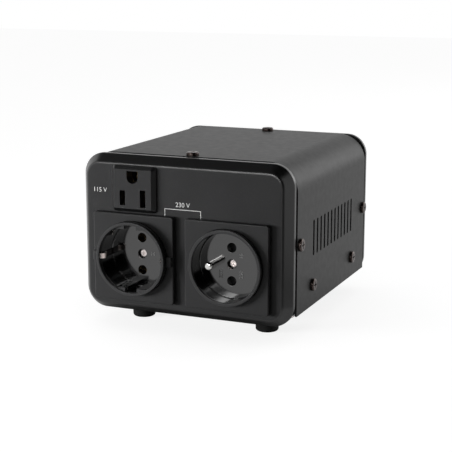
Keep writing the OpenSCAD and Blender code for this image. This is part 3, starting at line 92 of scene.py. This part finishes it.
# A wave texture turns by this many radians for each unit of length
WAVE_TURN = 20
# Half the width of the change from one finish to another
STEP_HALF = 0.5


class Finish:
    """A node material with helpers for procedural detail in the part's own space."""

    def __init__(self, name, **sockets):
        self.name = name
        self.material = bpy.data.materials.new(name)
        self.material.use_nodes = True
        self.tree = self.material.node_tree
        self.shader = self.tree.nodes["Principled BSDF"]
        self.normal = None
        for socket, value in sockets.items():
            self.shader.inputs[socket.replace("_", " ")].default_value = value

    def add(self, kind, **settings):
        """A new node with its settings."""
        node = self.tree.nodes.new(kind)
        for key, value in settings.items():
            setattr(node, key, value)
        return node

    def link(self, source, target):
        self.tree.links.new(source, target)

    def feeding(self, socket):
        """What feeds one of the shader's inputs so far."""
        return self.shader.inputs[socket].links[0].from_socket

    def place(self, stretch=EVEN):
        """Coordinates in metres, stretched along the axes."""
        coordinates = self.add("ShaderNodeTexCoord").outputs["Object"]
        if stretch == EVEN:
            return coordinates
        mapping = self.add("ShaderNodeMapping")
        mapping.inputs["Scale"].default_value = stretch
        self.link(coordinates, mapping.inputs["Vector"])
        return mapping.outputs["Vector"]

    def along(self, axis, output="Object"):
        """Coordinate along an axis in metres, or the part of the normal along it."""
        split = self.add("ShaderNodeSeparateXYZ")
        self.link(self.add("ShaderNodeTexCoord").outputs[output], split.inputs["Vector"])
        return split.outputs[axis]

    def in_front(self, place):
        """1 in front of that place along Y, 0 behind it."""
        return self.spread(self.along("Y"), (place - STEP_HALF) * MM, (place + STEP_HALF) * MM, 1, 0)

    def noise(self, size, detail, stretch=EVEN):
        """Noise with features of about that size."""
        node = self.add("ShaderNodeTexNoise")
        node.inputs["Scale"].default_value = 1 / (size * MM)
        node.inputs["Detail"].default_value = detail
        self.link(self.place(stretch), node.inputs["Vector"])
        return node.outputs["Fac"]

    def cells(self, size):
        """A random value for each cell of about that size."""
        node = self.add("ShaderNodeTexVoronoi")
        node.inputs["Scale"].default_value = 1 / (size * MM)
        self.link(self.place(), node.inputs["Vector"])
        return node.outputs["Color"]

    def bands(self, pitch, axis, distortion=0.0):
        """Even bands of that pitch across an axis."""
        node = self.add("ShaderNodeTexWave", wave_type="BANDS", bands_direction=axis, wave_profile="SIN")
        node.inputs["Scale"].default_value = math.tau / WAVE_TURN / (pitch * MM)
        node.inputs["Distortion"].default_value = distortion
        self.link(self.place(), node.inputs["Vector"])
        return node.outputs["Fac"]

    def bevel(self, radius):
        """The normal with edges rounded by that radius."""
        node = self.add("ShaderNodeBevel", samples=BEVEL_SAMPLES)
        node.inputs["Radius"].default_value = radius * MM
        return node.outputs["Normal"]

    def edges(self, radius):
        """1 on outer and inner edges sharper than that radius, 0 on flat ground."""
        dot = self.add("ShaderNodeVectorMath", operation="DOT_PRODUCT")
        self.link(self.bevel(radius), dot.inputs[0])
        self.link(self.add("ShaderNodeNewGeometry").outputs["Normal"], dot.inputs[1])
        return self.spread(dot.outputs["Value"], EDGE_FULL, EDGE_NONE, 1, 0)

    def spread(self, value, low, high, to_low, to_high):
        """A value from one range to another, held at both ends."""
        node = self.add("ShaderNodeMapRange", clamp=True)
        for socket, number in zip(("From Min", "From Max", "To Min", "To Max"), (low, high, to_low, to_high)):
            node.inputs[socket].default_value = number
        self.link(value, node.inputs["Value"])
        return node.outputs["Result"]

    def between(self, noise, low, high):
        """Noise as a value between those two."""
        return self.spread(noise, NOISE_LOW, NOISE_HIGH, low, high)

    def patches(self, noise, start, full, most):
        """Patches where noise is high: 0 at the start, and at the most where it is full."""
        return self.spread(noise, start, full, 0, most)

    def times(self, value, factor):
        node = self.add("ShaderNodeMath", operation="MULTIPLY")
        self.link(value, node.inputs[0])
        self.link(factor, node.inputs[1])
        return node.outputs["Value"]

    def blend(self, share, first, second):
        """Mix of two colours, each a colour or a socket."""
        node = self.add("ShaderNodeMix", data_type="RGBA")
        self.link(share, node.inputs["Factor"])
        sockets = {socket.identifier: socket for socket in node.inputs}
        for key, value in (("A_Color", first), ("B_Color", second)):
            if isinstance(value, bpy.types.NodeSocket):
                self.link(value, sockets[key])
            else:
                sockets[key].default_value = (*value, 1)
        return next(socket for socket in node.outputs if socket.identifier == "Result_Color")

    def paint(self, color):
        self.link(color, self.shader.inputs["Base Color"])
        return self

    def gloss(self, roughness):
        self.link(roughness, self.shader.inputs["Roughness"])
        return self

    def shine(self, level):
        self.link(level, self.shader.inputs["Specular IOR Level"])
        return self

    def bump(self, height, depth):
        """Relief of that depth, on top of what is there."""
        node = self.add("ShaderNodeBump")
        node.inputs["Distance"].default_value = depth * MM
        self.link(height, node.inputs["Height"])
        if self.normal is not None:
            self.link(self.normal, node.inputs["Normal"])
        return self.turn(node.outputs["Normal"])

    def soften(self, radius):
        """Small rounding of the edges in the shading."""
        return self.turn(self.bevel(radius))

    def turn(self, normal):
        """Makes that normal the shader's."""
        self.normal = normal
        self.link(normal, self.shader.inputs["Normal"])
        return self


def shade(color, factor):
    return tuple(min(1.0, channel * factor) for channel in color)


def plastic(name, color, roughness, grain=0.4, depth=0.01, rub=2.2, soft=0.25, **sockets):
    """Moulded plastic: a spark-eroded grain, cloudy colour, specks and paler edges."""
    finish = Finish(name, **sockets).soften(soft)
    cloud = finish.blend(finish.noise(size=22, detail=3), shade(color, 0.85), shade(color, 1.15))
    specks = finish.patches(finish.noise(size=0.7, detail=1), start=0.62, full=0.8, most=0.4)
    speckled = finish.blend(specks, cloud, shade(color, 1.8))
    finish.paint(finish.blend(finish.edges(radius=0.5), speckled, shade(color, rub)))
    finish.gloss(finish.between(finish.noise(size=5, detail=3), roughness * 0.9, roughness * 1.1))
    return finish.bump(finish.noise(size=grain, detail=2), depth)


# Part of the normal along Y on the flat of a front moulding, and where its roll has begun
FLAT_NORMAL, ROLL_NORMAL = -0.99, -0.95
# Painted shade: the roll's colour is darkened by this factor
ROLL_PAINTED_SHADE = 0.5
ROLL_SMOOTHER = 0.05
ROLL_SHINE = 0.55


def front_moulding(name, color, roughness, shine, soft):
    """Moulded front: a fine matt flat inside a smoother and glossier roll, whose colour is darkened as
    painted shade.
    """
    finish = plastic(name, color, roughness, rub=1.2, soft=soft)
    flat = finish.spread(finish.along("Y", "Normal"), FLAT_NORMAL, ROLL_NORMAL, 1, 0)
    # Painted shade: a darker colour wherever the normal turns away from the front
    finish.paint(finish.blend(flat, shade(color, ROLL_PAINTED_SHADE), finish.feeding("Base Color")))
    finish.gloss(finish.spread(flat, 0, 1, roughness - ROLL_SMOOTHER, roughness))
    return finish.shine(finish.spread(flat, 0, 1, ROLL_SHINE, shine))


# Part of the normal along Z where painted shade darkens a face that looks down, and where a face is left
# unshaded
PAINTED_SHADE_NORMAL, UNSHADED_NORMAL = -0.6, -0.2
PAINTED_SHADE_FACTOR = 0.2


def socket_plate(name, color, roughness, shine):
    """A front moulding whose faces that look down get painted shade: a darker colour and less shine."""
    finish = front_moulding(name, color, roughness, shine, soft=0.25)
    unshaded = finish.spread(finish.along("Z", "Normal"), PAINTED_SHADE_NORMAL, UNSHADED_NORMAL, 0, 1)
    # Painted shade: faces that look down take a darker colour and lose their shine
    finish.paint(finish.blend(unshaded, shade(color, PAINTED_SHADE_FACTOR), finish.feeding("Base Color")))
    return finish.shine(finish.times(finish.feeding("Specular IOR Level"), unshaded))


CUP_SHINE, RIM_SHINE = 0.5, 0.12


def socket_cup(name, color, roughness, rim_back, rim_color, rim_roughness):
    """Polished moulding with a satin rim in front of that place along Y."""
    finish = plastic(name, color, roughness, grain=1.6, depth=0.0015, IOR=1.85)
    rim = finish.in_front(rim_back)
    finish.paint(finish.blend(rim, finish.feeding("Base Color"), rim_color))
    finish.gloss(finish.spread(rim, 0, 1, roughness, rim_roughness))
    return finish.shine(finish.spread(rim, 0, 1, CUP_SHINE, RIM_SHINE))


def powder_paint(name, color, roughness):
    """Powder paint on sheet steel: fine orange peel, specks and paler edges."""
    finish = Finish(name, Specular_IOR_Level=0.25)
    cloud = finish.blend(finish.noise(size=30, detail=3), shade(color, 0.9), shade(color, 1.1))
    specks = finish.patches(finish.noise(size=0.5, detail=1), start=0.6, full=0.75, most=0.35)
    speckled = finish.blend(specks, cloud, shade(color, 2.0))
    finish.paint(finish.blend(finish.edges(radius=0.6), speckled, shade(color, 2.6)))
    finish.gloss(finish.between(finish.noise(size=4, detail=3), roughness - 0.02, roughness + 0.03))
    finish.bump(finish.noise(size=0.9, detail=2), depth=0.005)
    return finish.bump(finish.noise(size=0.35, detail=1), depth=0.004)


def rubber(name, color):
    """Dull rubber with a dusty bloom."""
    finish = Finish(name, Specular_IOR_Level=0.35)
    bloom = finish.patches(finish.noise(size=6, detail=4), start=0.4, full=0.75, most=0.6)
    finish.paint(finish.blend(bloom, color, shade(color, 2.2)))
    finish.gloss(finish.between(finish.noise(size=3, detail=2), 0.62, 0.8))
    return finish.bump(finish.noise(size=0.5, detail=3), depth=0.03)


def metal(name, color, roughness, tarnish=None, brush=EVEN):
    """Plated or bare metal: drawn streaks, tarnish in patches and bright edges."""
    finish = Finish(name, Metallic=1.0).soften(0.2)
    dark_part = finish.patches(finish.noise(size=2.4, detail=4), start=0.42, full=0.7, most=1)
    patched = finish.blend(dark_part, color, tarnish or shade(color, 0.72))
    finish.paint(finish.blend(finish.edges(radius=0.35), patched, shade(color, 1.3)))
    streaks = finish.noise(size=0.5, detail=3, stretch=brush)
    finish.gloss(finish.between(streaks, roughness - 0.07, roughness + 0.09))
    return finish.bump(streaks, depth=0.008)


def earth_spring(name, color, roughness, bow_back, dark_part):
    """Plated spring strip, bright on the bow in front of that place along Y, and painted near-black behind it
    as painted shade.
    """
    finish = metal(name, color, roughness)
    # Painted shade: behind the bow the strip takes a near-black colour
    return finish.paint(finish.blend(finish.in_front(bow_back), dark_part, finish.feeding("Base Color")))


def galvanised(name, color, roughness):
    """Zinc-coated sheet with its crystal spangle."""
    finish = Finish(name, Metallic=1.0)
    spangle = finish.cells(size=5)
    finish.paint(finish.blend(spangle, shade(color, 0.78), shade(color, 1.1)))
    finish.gloss(finish.spread(spangle, 0, 1, roughness - 0.08, roughness + 0.1))
    return finish.bump(finish.noise(size=1.5, detail=3), depth=0.01)


def glass(name, color):
    """Clear fuse glass with faint drawing lines."""
    finish = Finish(name, Transmission_Weight=1.0, IOR=1.5)
    streaks = finish.noise(size=0.6, detail=2, stretch=(0.1, 1, 1))
    finish.paint(finish.blend(streaks, shade(color, 0.96), color))
    return finish.gloss(finish.between(streaks, 0.02, 0.06))


def laminated(name, color, roughness, rust):
    """Lacquered stack of core sheets, seen edge on, with some rust."""
    finish = Finish(name, Metallic=0.8)
    sheets = finish.bands(pitch=0.5, axis="Y")
    rusty = finish.patches(finish.noise(size=7, detail=4), start=0.5, full=0.75, most=0.5)
    finish.paint(finish.blend(rusty, finish.blend(sheets, shade(color, 0.5), color), rust))
    finish.gloss(finish.between(finish.noise(size=3, detail=2), roughness - 0.06, roughness + 0.08))
    return finish.bump(sheets, depth=0.06)


def wound(name, color, roughness):
    """Enamelled wire in even layers."""
    finish = Finish(name, Metallic=0.9)
    turns = finish.bands(pitch=0.8, axis="Z", distortion=0.15)
    finish.paint(finish.blend(turns, shade(color, 0.35), color))
    finish.gloss(finish.between(finish.noise(size=2, detail=2), roughness - 0.05, roughness + 0.08))
    return finish.bump(turns, depth=0.25)


def tape(name, color):
    """Wrapped film tape with its overlaps."""
    finish = Finish(name, Coat_Weight=0.3)
    laps = finish.bands(pitch=9, axis="Z", distortion=0.2)
    finish.paint(finish.blend(laps, shade(color, 0.82), color))
    finish.gloss(finish.between(finish.noise(size=4, detail=3), 0.28, 0.42))
    finish.bump(laps, depth=0.08)
    return finish.bump(finish.noise(size=3, detail=3), depth=0.05)


def ink(name, color):
    """Ink, or a flat grey standing for painted glints on moulded marks, with slightly uneven cover."""
    finish = Finish(name)
    cover = finish.between(finish.noise(size=0.35, detail=2), 0, 1)
    finish.paint(finish.blend(cover, shade(color, 0.86), color))
    return finish.gloss(finish.between(finish.noise(size=1, detail=2), 0.45, 0.6))


BLACK = (0.024, 0.024, 0.0245)
GLOSS_BLACK = (0.003, 0.003, 0.0032)
PAINT_BLACK = (0.014, 0.014, 0.014)
SATIN = 0.35
# Places along Y where the rims of the cups and the bows of the earth strip end
CUP_RIM_BACK = -75.1
EARTH_BOW_BACK = -69.4

FINISHES = {finish.name: finish.material for finish in (
    front_moulding("bezel_plastic", BLACK, SATIN, shine=0.1, soft=1.0),
    powder_paint("cover_paint", PAINT_BLACK, 0.47),
    galvanised("tray_steel", (0.6, 0.61, 0.62), 0.36),
    rubber("foot_rubber", (0.005, 0.005, 0.005)),
    metal("screw_black", (0.075, 0.06, 0.055), 0.28, tarnish=(0.025, 0.017, 0.016)),
    metal("screw_zinc", (0.8, 0.73, 0.71), 0.24),
    socket_plate("us_plastic", BLACK, SATIN, shine=0.12),
    plastic("frame_plastic", BLACK, SATIN, rub=1.3, Specular_IOR_Level=0.12),
    socket_cup("insert_plastic", GLOSS_BLACK, 0.1, CUP_RIM_BACK, rim_color=BLACK, rim_roughness=SATIN),
    plastic("housing_plastic", (0.03, 0.03, 0.032), 0.5),
    metal("contact_brass", (0.4, 0.28, 0.13), 0.42, tarnish=(0.2, 0.13, 0.06)),
    # The near-black colour behind the bow is painted shade
    earth_spring("earth_strip", (0.9, 0.78, 0.74), 0.28, EARTH_BOW_BACK, dark_part=(0.02, 0.015, 0.014)),
    metal("pin_nickel", (0.8, 0.79, 0.77), 0.14, brush=(1, 0.1, 1)),
    plastic("shutter_plastic", (0.1, 0.1, 0.1), 0.45),
    metal("spring_steel", (0.55, 0.55, 0.56), 0.3),
    plastic("inlet_plastic", shade(BLACK, 0.6), 0.45, Specular_IOR_Level=0.3),
    glass("fuse_glass", (0.9, 0.95, 0.94)),
    plastic("rocker_plastic", GLOSS_BLACK, 0.2, grain=1.6, depth=0.004),
    metal("selector_steel", (0.5, 0.5, 0.5), 0.34, brush=(0.06, 1, 1)),
    plastic("slider_plastic", (0.45, 0.03, 0.02), 0.36, rub=1.4),
    laminated("core_steel", (0.3, 0.31, 0.33), 0.42, rust=(0.16, 0.1, 0.07)),
    plastic("bobbin_plastic", (0.62, 0.57, 0.42), 0.45, rub=1.15),
    wound("winding_copper", (0.62, 0.26, 0.1), 0.3),
    tape("wrap_tape", (0.7, 0.52, 0.08)),
)}
WHITE_INK = ink("white_ink", (0.55, 0.55, 0.545)).material
# The moulded marks are the cup's own plastic: their grey is a painted highlight standing for glints
PAINTED_GLINT_MARK = ink("painted_glint_mark", (0.13, 0.13, 0.13)).material

for node in frame["nodes"].values():
    for holder in node.material_slots:
        slot_name = holder.material.name.split(".")[0]
        holder.material = FINISHES[slot_name]


# Spring of the shutter

def make_spring():
    """A copy of the shutter's spring, held by the case in place of the imported one."""
    coil = frame["nodes"]["shutter_spring"]
    spring = add_object("closing_spring", coil.data.copy())
    spring.matrix_world = coil.matrix_world
    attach(spring, "case")
    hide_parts("shutter_spring")
    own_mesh(spring)


make_spring()


# Print and moulded marks

PRINT_PROUD = 0.03
MOULD_PROUD = 0.2
SUNK = 0.05
# Height of a capital for a font size of 1
CAPITAL = 0.7
CURVE_STEPS = 4
RAY_START = 1000
QUARTER_TURN = math.pi / 2


def surface_under(node, x, z, facing):
    """Point and normal of a node's outer surface at a place on the front or the back."""
    start = (Vector((x, 0, z)) + facing * RAY_START) * MM
    hit, point, normal, _ = frame["nodes"][node].ray_cast(start, -facing)
    if not hit:
        raise ValueError(f"no surface of {node} at {x}, {z}")
    return point, normal


def text_mesh(name, words, height, proud):
    """Mesh of words of that height about the origin, in the XY plane."""
    curve = bpy.data.curves.new(name, "FONT")
    curve.body = words
    curve.align_x = "CENTER"
    curve.align_y = "CENTER"
    curve.size = height * MM / CAPITAL
    curve.extrude = (proud + SUNK) / 2 * MM
    curve.resolution_u = CURVE_STEPS
    holder = add_object(name, curve)
    bpy.context.view_layer.update()
    mesh = bpy.data.meshes.new_from_object(holder.evaluated_get(bpy.context.evaluated_depsgraph_get()))
    bpy.data.objects.remove(holder)
    mesh.name = name
    return mesh


def bars_mesh(name, bars, proud):
    """Mesh of bars given by their left, low, right and high sides."""
    build = bmesh.new()
    for left, low, right, high in bars:
        size = Vector((right - left, high - low, proud + SUNK)) * MM
        middle = Vector(((left + right) / 2, (low + high) / 2, 0)) * MM
        bmesh.ops.create_cube(build, size=1, matrix=Matrix.LocRotScale(middle, None, size))
    mesh = bpy.data.meshes.new(name)
    build.to_mesh(mesh)
    build.free()
    return mesh


def put_mark(mesh, place, material, proud, facing=FRONT, body="case", slot="bezel_plastic", turn=0.0):
    """Stands a mark on a node's surface at a place (node, x, z), upright as seen from outside."""
    point, normal = surface_under(*place, facing)
    across = UP.cross(normal).normalized()
    axes = Matrix((across, normal.cross(across), normal)).transposed()
    middle = point + normal * (proud - SUNK) / 2 * MM
    piece = add_object(mesh.name, mesh)
    piece.matrix_world = Matrix.LocRotScale(middle, axes @ Matrix.Rotation(turn, 3, "Z"), None)
    mesh.materials.clear()
    mesh.materials.append(material)
    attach(piece, body)


def print_words(name, words, place, height, **where):
    put_mark(text_mesh(name, words, height, PRINT_PROUD), place, WHITE_INK, PRINT_PROUD, **where)


def mould_words(name, words, place, height, **where):
    put_mark(text_mesh(name, words, height, MOULD_PROUD), place, PAINTED_GLINT_MARK, MOULD_PROUD, **where)


VOLTS_HEIGHT = 2.6
BRACKET_HALF = 11.1
BRACKET_DROP = 4.6
BRACKET_LINE = 0.32
# Place of the bracket from between the two square frames and from their top
BRACKET_ASIDE, BRACKET_RISE = 1.2, 4.2
# Place of the words from the bracket
WORDS_RISE = 2.6
# Place of the American socket's words from the left edge and the middle of its plate
LABEL_ASIDE, LABEL_BELOW = 8.5, 2.1


def make_outputs():
    """The voltages of the sockets, and the bracket over the two European ones."""
    half, line = BRACKET_HALF, BRACKET_LINE
    bracket = bars_mesh("output_bracket", [
        (-half, -line / 2, half, line / 2),
        (-half, -BRACKET_DROP, line - half, -line / 2),
        (half - line, -BRACKET_DROP, half, -line / 2),
    ], PRINT_PROUD)
    x = (middle_of("schuko_frame").x + middle_of("french_frame").x) / 2 + BRACKET_ASIDE
    z = box_of("schuko_frame")[1].z + BRACKET_RISE
    put_mark(bracket, ("front_bezel", x, z), WHITE_INK, PRINT_PROUD)
    print_words("output_230", "230 V", ("front_bezel", x, z + WORDS_RISE), VOLTS_HEIGHT)
    label_x = box_of("us_socket_body")[0].x - LABEL_ASIDE
    label_z = middle_of("us_socket_body").z - LABEL_BELOW
    print_words("output_115", "115 V", ("front_bezel", label_x, label_z), VOLTS_HEIGHT)


RATING_HEIGHT = 2.2
# Plain numbers on the floors of the cups, with their places from the socket's middle and their turns
RATINGS = (
    ("rating_a", "16", "french", 5.8, 5.2, QUARTER_TURN),
    ("rating_b", "250", "french", 5.8, -5.4, QUARTER_TURN),
    ("rating_c", "250", "french", -6.4, -6.0, QUARTER_TURN),
    ("rating_d", "16", "schuko", 6.8, 0.5, 0.0),
)


def make_ratings():
    for name, words, socket, aside, rise, turn in RATINGS:
        middle = middle_of(f"{socket}_frame")
        place = (f"{socket}_insert", middle.x + aside, middle.z + rise)
        mould_words(name, words, place, RATING_HEIGHT, slot="insert_plastic", turn=turn)


ROCKER_MARK_HEIGHT = 3.0
ROCKER_MARK_RISE = 4.6


def make_rocker_marks():
    x, _, z = Vector(JOINTS["rocker_hinge"]["pos_m"]) / MM
    for name, words, rise in (("rocker_on", "I", ROCKER_MARK_RISE), ("rocker_off", "O", -ROCKER_MARK_RISE)):
        place = ("switch_rocker", x, z + rise)
        print_words(name, words, place, ROCKER_MARK_HEIGHT, facing=REAR, body="rocker", slot="rocker_plastic")


make_outputs()
make_ratings()
make_rocker_marks()


# Stage

FLOOR_HALF = 3.0
FLOOR_COLOR = (0.82, 0.82, 0.82, 1)
# The floor as the camera sees it: a grey that takes real shadows, a glow, and the glow left under the object,
# dimmed there as a painted contact shadow
FLOOR_SHADED = (0.3, 0.3, 0.3, 1)
FLOOR_LIFT = 0.955
FLOOR_PAINTED_SHADOW = 0.87
# The floor's glow in gloss, and what is left of it under the object, dimmed there as a painted shadow in
# reflections
FLOOR_MIRRORED = 0.9
FLOOR_MIRRORED_PAINTED_SHADOW = 0.0
# Reach of the painted contact shadow, and the open share of the sky where it is darkest and where it ends
CONTACT_REACH = 0.11
CONTACT_DARK, CONTACT_OPEN = 0.3, 0.9
CONTACT_SAMPLES = 8
# Cards, with azimuths in degrees and the roof's left, right, front and back sides
CARD_STEPS = 24
CARD_RADIUS = 1.6
WALL_FROM, WALL_TO = -10, 76
WALL_HEIGHT = 1.6
TABLE_FROM, TABLE_TO = 27, 72
TABLE_NEAR = 0.15
TABLE_LIFT = 0.0005
TABLE_GLOW = 0.2
ROOF_SPAN = (-0.9, 0.9, -1.0, 0.6)
ROOF_HEIGHT = 0.95
WORLD_FILL = 0.05


def toward(azimuth, elevation):
    """Direction from the object, with azimuth 0 at the front and 90 at its right side, in degrees."""
    a, e = math.radians(azimuth), math.radians(elevation)
    return Vector((math.sin(a) * math.cos(e), -math.cos(a) * math.cos(e), math.sin(e)))


def empty_tree(owner):
    """Node tree of a new material or world, with no node in it yet."""
    owner.use_nodes = True
    owner.node_tree.nodes.clear()
    return owner.node_tree


def add_node(tree, kind, **values):
    """A new node with values on its inputs."""
    node = tree.nodes.new(kind)
    for name, value in values.items():
        node.inputs[name.replace("_", " ")].default_value = value
    return node


def any_ray(tree, *kinds):
    """1 for rays of the named kinds, else 0."""
    rays = tree.nodes.new("ShaderNodeLightPath").outputs
    total = rays[kinds[0]]
    for kind in kinds[1:]:
        either = tree.nodes.new("ShaderNodeMath")
        either.operation = "MAXIMUM"
        tree.links.new(total, either.inputs[0])
        tree.links.new(rays[kind], either.inputs[1])
        total = either.outputs["Value"]
    return total


def mix_shaders(tree, share, first, second):
    """The first shader where the share is 0, and the second where it is 1."""
    node = tree.nodes.new("ShaderNodeMixShader")
    for source, target in zip((share, first, second), node.inputs):
        tree.links.new(source, target)
    return node.outputs["Shader"]


def show(tree, shader, kind="ShaderNodeOutputMaterial"):
    """Makes that shader the tree's surface."""
    tree.links.new(shader, tree.nodes.new(kind).inputs["Surface"])


def floor_material():
    """Plain grey for spread light, and near white for the camera and gloss, with a painted contact shadow
    dimming its glow close to the object.
    """
    material = bpy.data.materials.new("floor")
    tree = empty_tree(material)
    plain = add_node(tree, "ShaderNodeBsdfDiffuse", Color=FLOOR_COLOR)
    shaded = add_node(tree, "ShaderNodeBsdfDiffuse", Color=FLOOR_SHADED)
    lift = add_node(tree, "ShaderNodeEmission", Strength=FLOOR_LIFT)
    mirrored = add_node(tree, "ShaderNodeEmission", Strength=FLOOR_MIRRORED)
    sky = add_node(tree, "ShaderNodeAmbientOcclusion", Distance=CONTACT_REACH)
    sky.samples = CONTACT_SAMPLES
    # Painted contact shadow: both glows dim where ambient occlusion finds the object near
    for glow, under in ((mirrored, FLOOR_MIRRORED_PAINTED_SHADOW), (lift, FLOOR_PAINTED_SHADOW)):
        contact = add_node(tree, "ShaderNodeMapRange", From_Min=CONTACT_DARK, From_Max=CONTACT_OPEN)
        contact.inputs["To Min"].default_value = under
        tree.links.new(sky.outputs["AO"], contact.inputs["Value"])
        tree.links.new(contact.outputs["Result"], glow.inputs["Color"])
    pale = tree.nodes.new("ShaderNodeAddShader")
    tree.links.new(shaded.outputs["BSDF"], pale.inputs[0])
    tree.links.new(lift.outputs["Emission"], pale.inputs[1])
    in_gloss = any_ray(tree, "Is Glossy Ray")
    unseen = mix_shaders(tree, in_gloss, plain.outputs["BSDF"], mirrored.outputs["Emission"])
    in_sight = any_ray(tree, "Is Camera Ray", "Is Transmission Ray")
    show(tree, mix_shaders(tree, in_sight, unseen, pale.outputs["Shader"]))
    return material


def make_floor():
    build = bmesh.new()
    bmesh.ops.create_grid(build, x_segments=1, y_segments=1, size=FLOOR_HALF)
    mesh = bpy.data.meshes.new("floor")
    build.to_mesh(mesh)
    build.free()
    mesh.materials.append(floor_material())
    floor = add_object("floor", mesh)


def make_world():
    """White surroundings for the camera, gloss and glass, and a dimmer fill for the rest."""
    world = bpy.data.worlds.new("studio")
    bpy.context.scene.world = world
    tree = empty_tree(world)
    fill = add_node(tree, "ShaderNodeBackground", Color=WHITE, Strength=WORLD_FILL)
    white = add_node(tree, "ShaderNodeBackground", Color=WHITE, Strength=1.0)
    in_sight = any_ray(tree, "Is Camera Ray", "Is Glossy Ray", "Is Transmission Ray")
    mixed = mix_shaders(tree, in_sight, fill.outputs["Background"], white.outputs["Background"])
    show(tree, mixed, "ShaderNodeOutputWorld")


def make_card(name, corners, glow=0.0, gloss_only=False):
    """Black or grey card that keeps white off the gloss, out of the camera's sight."""
    half = len(corners) // 2
    faces = [(i, i + 1, half + i + 1, half + i) for i in range(half - 1)]
    mesh = bpy.data.meshes.new(name)
    mesh.from_pydata(corners, [], faces)
    material = bpy.data.materials.new(name)
    tree = empty_tree(material)
    show(tree, add_node(tree, "ShaderNodeEmission", Strength=glow).outputs["Emission"])
    mesh.materials.append(material)
    card = add_object(name, mesh)
    card.visible_camera = False
    card.visible_diffuse = not gloss_only
    card.visible_shadow = not gloss_only


def arc(start, stop, radius, height):
    """Points round the object between two azimuths."""
    turns = [start + (stop - start) * i / CARD_STEPS for i in range(CARD_STEPS + 1)]
    return [toward(turn, 0) * radius + UP * height for turn in turns]


def make_cards():
    """A curved card round the camera's side, a dim sheet on the floor before it that only gloss sees, as a
    painted dark reflection, and a flat one overhead.
    """
    wall_foot = arc(WALL_FROM, WALL_TO, CARD_RADIUS, 0)
    make_card("wall_card", wall_foot + arc(WALL_FROM, WALL_TO, CARD_RADIUS, WALL_HEIGHT))
    # Painted reflection: this sheet casts no shadow and only shows in gloss
    near = arc(TABLE_FROM, TABLE_TO, TABLE_NEAR, TABLE_LIFT)
    far = arc(TABLE_FROM, TABLE_TO, CARD_RADIUS, TABLE_LIFT)
    make_card("reflection_only_card", near + far, TABLE_GLOW, gloss_only=True)
    left, right, front, back = ROOF_SPAN
    make_card("roof_card", [(x, y, ROOF_HEIGHT) for y in (front, back) for x in (left, right)])


make_floor()
make_world()
make_cards()


# Camera at the photograph's angle

CAMERA_TARGET = Vector((5.158, -20.55, 54.192)) * MM
CAMERA_AZIMUTH = 23.235
CAMERA_ELEVATION = 12.067
CAMERA_DISTANCE = 707.857 * MM
CAMERA_LENS = 95.25
CAMERA_SENSOR = 36.0


def look_from(thing, azimuth, elevation, distance):
    """Stands a camera or lamp round the target and turns it to face the target."""
    away = toward(azimuth, elevation)
    thing.location = CAMERA_TARGET + away * distance
    thing.rotation_euler = away.to_track_quat("Z", "Y").to_euler()


def make_camera():
    data = bpy.data.cameras.new("camera")
    data.lens = CAMERA_LENS
    data.sensor_width = CAMERA_SENSOR
    camera = add_object("camera", data)
    look_from(camera, CAMERA_AZIMUTH, CAMERA_ELEVATION, CAMERA_DISTANCE)
    bpy.context.scene.camera = camera


make_camera()


# Light

def softbox(name, azimuth, elevation, distance, width, height, power, diffuse=True, gloss=True):
    """A soft lamp, which may serve spread light or gloss alone."""
    data = bpy.data.lights.new(name, "AREA")
    data.shape = "RECTANGLE"
    data.size = width
    data.size_y = height
    data.energy = power
    lamp = add_object(name, data)
    lamp.visible_diffuse = diffuse
    lamp.visible_glossy = gloss
    look_from(lamp, azimuth, elevation, distance)


softbox("key", azimuth=-53, elevation=0, distance=0.62, width=0.26, height=0.1, power=7.3, gloss=False)
softbox("strip", azimuth=-20, elevation=34, distance=1.2, width=0.7, height=0.1, power=3.6, diffuse=False)
softbox("window", azimuth=-4, elevation=18, distance=1.2, width=0.7, height=0.25, power=5.4, diffuse=False)
softbox("side", azimuth=140, elevation=20, distance=1.4, width=1.0, height=0.8, power=6.0)
bpy.context.scene.view_settings.view_transform = "Standard"
